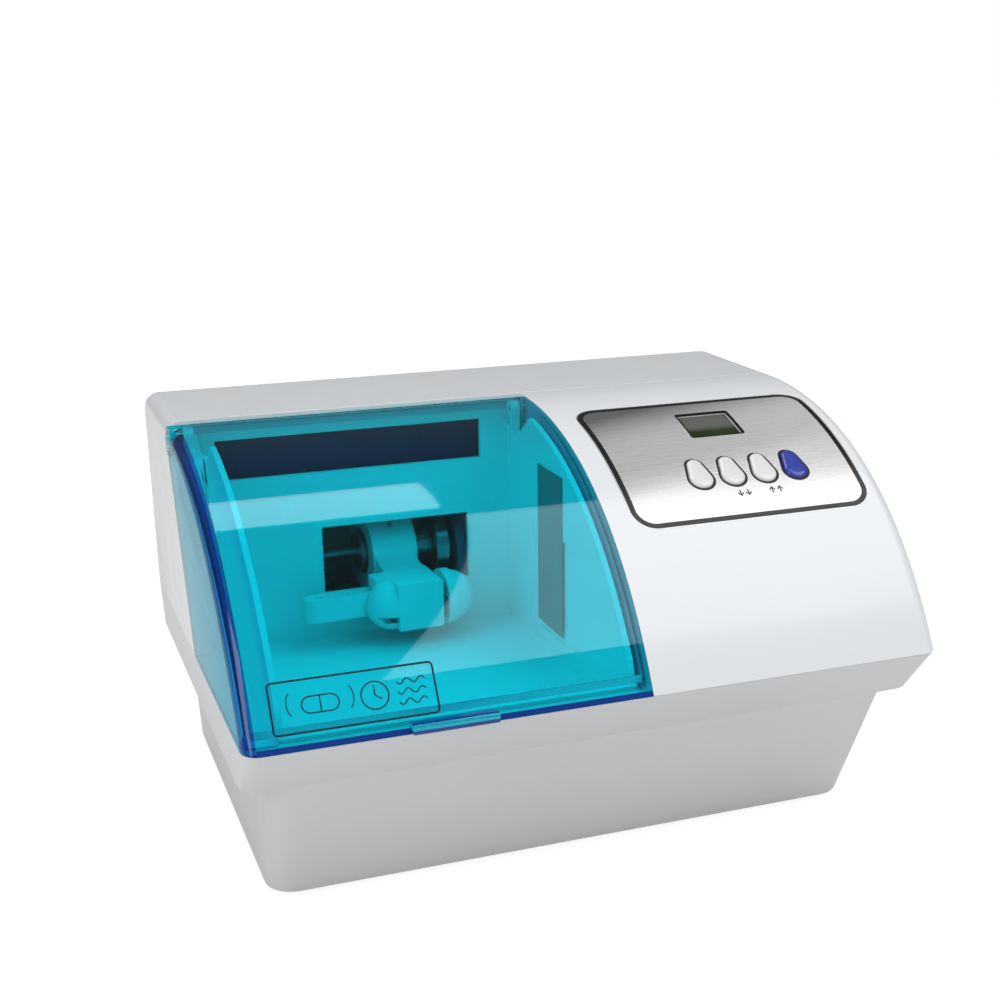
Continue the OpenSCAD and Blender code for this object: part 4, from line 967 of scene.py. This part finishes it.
def make_canopy():
    """The tinted canopy: sheet, left cheek, right flange, front lip, rolled rear edge, knuckles and tab."""
    lid = trim_below(skin("canopy", 0.0, EDGE_R, TRIM_Z), RIM_Z)
    combine(lid, [prism("zone", canopy_room(0.0), OUT_X, SPLIT - 0.3)], "INTERSECT")
    turns = [k * math.pi / 32 for k in range(17)]
    corner = [(AXLE[0] + AXLE_R * math.cos(a), AXLE[1] + AXLE_R * math.sin(a)) for a in turns]
    corner += [(AXLE[0], TOP + 8), (AXLE[0] + 30, TOP + 8), (AXLE[0] + 30, AXLE[1])]
    combine(lid, [prism("corner", corner, OUT_X, SPLIT + 1)])
    inner = skin("inner", LID_T, EDGE_R - LID_T, CUT_Z, right=SPLIT - 2.6, view=canopy_inside)
    under = side_view(12.0, CUT_Z)[:STEPS + 2] + [(200.0, 168.0), (200.0, CUT_Z)]
    combine(lid, [inner, prism("flange", under, SPLIT - 2.7, SPLIT + 1)])
    knuckles = [rod("knuckle", x0, x1, *AXLE, AXLE_R - 0.01)
                for x0, x1 in ((-149.6, -143.4), (11.0, SPLIT - 0.31))]
    tab = soften(block("tab", (-86, -3, 86.6), (-51, 2.2, 90.8)), 0.7, segments=3)
    combine(lid, knuckles + [tab], "UNION")
    ceiling = AXLE[1] + AXLE_R - LID_T - 0.01
    room = [block("room", (x, AXLE[0], 150.0), (x + 4.8, AXLE[0] + 20, ceiling)) for x in (-143.4, 6.2)]
    combine(lid, room + [rod("pin_hole", -148.8, SPLIT + 2, *AXLE, 1.55, 20)])
    # Two edge lines, where the colour of the lip changes
    only(lid)
    bpy.ops.object.mode_set(mode="EDIT")
    for co, no in (((0, 0, LIP_Z * MM), (0, 0, 1)), ((0, (FRONT + LIP_Y) * MM, 0), (0, 1, 0))):
        bpy.ops.mesh.select_all(action="SELECT")
        bpy.ops.mesh.bisect(plane_co=co, plane_no=no)
    bpy.ops.object.mode_set(mode="OBJECT")
    fair(lid, [(0.0, EDGE_R, 1), (LID_T, EDGE_R - LID_T, -1)])
    pale = (0.7, 0.96, 0.98)
    wear(lid,
         canopy_paint("canopy_clear", (0.002, 0.79, 0.91), pale, 0.03),
         canopy_paint("canopy_thick", (0.002, 0.07, 0.36), (0.3, 0.5, 0.8), 0.05),
         plastic("canopy_edge", (0.002, 0.045, 0.27), 0.14, 0.1, 900.0, 0.03, coat=0.4),
         plastic("canopy_wall", (0.17, 0.66, 0.81), 0.3, 0.04, 900.0, 0.03),
         canopy_paint("canopy_cheek", (0.03, 0.55, 0.68), pale, 0.1, 1.2, 0.15))
    for face in lid.data.polygons:
        face.material_index = canopy_tone(face)
    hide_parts("lid_canopy")
    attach(lid, "lid")


make_canopy()


# ---------------------------------------------------------------- set and light
# The world's strength as soft light and in reflections, and how far and how brightly the floor glows
SKY_SOFT, SKY_MIRRORED = 0.61, 0.12
FLOOR_SHARE, FLOOR_GLOW = 0.7, 1.26


def make_stage():
    """A floor that the camera sees as nearly white, and that still keeps the object's soft shadow."""
    bpy.ops.object.select_all(action="DESELECT")
    bpy.ops.mesh.primitive_plane_add(size=8.0, location=(0, 0, -0.0002))
    floor = bpy.context.object
    floor.name = "studio_floor"
    p = Paint("studio_white")
    p.set(Base_Color=(0.8, 0.8, 0.8), Roughness=0.9)
    path = p.node("ShaderNodeLightPath").outputs
    glow = p.node("ShaderNodeEmission")
    glow.inputs["Color"].default_value = (1, 1, 1, 1)
    glow.inputs["Strength"].default_value = FLOOR_GLOW
    seen = p.math("MAXIMUM", path["Is Camera Ray"], path["Is Transmission Ray"])
    p.cover(p.math("MULTIPLY", seen, FLOOR_SHARE), glow)
    wear(floor, p.mat)


def lamp(name, place_at, target, size, power):
    """A rectangular white lamp that points at a target."""
    data = bpy.data.lights.new(name, "AREA")
    data.shape = "RECTANGLE"
    data.size, data.size_y = size
    data.energy = power
    obj = bpy.data.objects.new(name, data)
    bpy.context.scene.collection.objects.link(obj)
    obj.location = place_at
    obj.rotation_euler = (Vector(target) - Vector(place_at)).to_track_quat("-Z", "Y").to_euler()


def make_world():
    """White where it is seen straight or through glass, dim in reflections, and soft light for the rest."""
    world = bpy.data.worlds.new("studio")
    world.use_nodes = True
    tree = world.node_tree
    background = tree.nodes["Background"]
    background.inputs["Color"].default_value = (1, 1, 1, 1)
    path = tree.nodes.new("ShaderNodeLightPath").outputs

    def step(operation, *values):
        return math_node(tree, operation, *values)

    # A ray that was mirrored inside the glass leaves it as a transmission ray
    inside = step("MULTIPLY", path["Is Transmission Ray"], step("GREATER_THAN", path["Glossy Depth"], 0.5))
    through = step("SUBTRACT", path["Is Transmission Ray"], inside)
    mirrored = step("MAXIMUM", path["Is Glossy Ray"], inside)
    dim = step("MULTIPLY_ADD", mirrored, SKY_MIRRORED - SKY_SOFT, SKY_SOFT)
    straight = step("MAXIMUM", path["Is Camera Ray"], through)
    tree.links.new(step("MAXIMUM", straight, dim), background.inputs["Strength"])
    bpy.context.scene.world = world


def camera():
    """The photograph's own view."""
    data = bpy.data.cameras.new("view_cam")
    cam = bpy.data.objects.new("view_cam", data)
    bpy.context.scene.collection.objects.link(cam)
    cam.location = (-0.22920, -0.63915, 0.32752)
    cam.rotation_euler = (1.24788, 0.00669, -0.36009)
    data.sensor_width = 36.0
    data.lens = 55.887
    data.shift_x = -0.040
    data.shift_y = 0.082
    data.clip_start = 0.01
    data.clip_end = 20.0
    bpy.context.scene.camera = cam


make_stage()
make_world()
lamp("band_light", (-0.08, 0.39, 1.6), (-0.08, 0.39, 0.0), (0.9, 0.36), 2.8)
lamp("right_light", (0.95, -0.75, 1.6), (0.95, -0.75, 0.0), (1.1, 1.7), 11.0)
lamp("left_light", (-1.3, -0.6, 0.9), (-0.05, 0.0, 0.1), (0.6, 0.9), 5.0)
camera()
bpy.context.scene.view_settings.view_transform = "Standard"
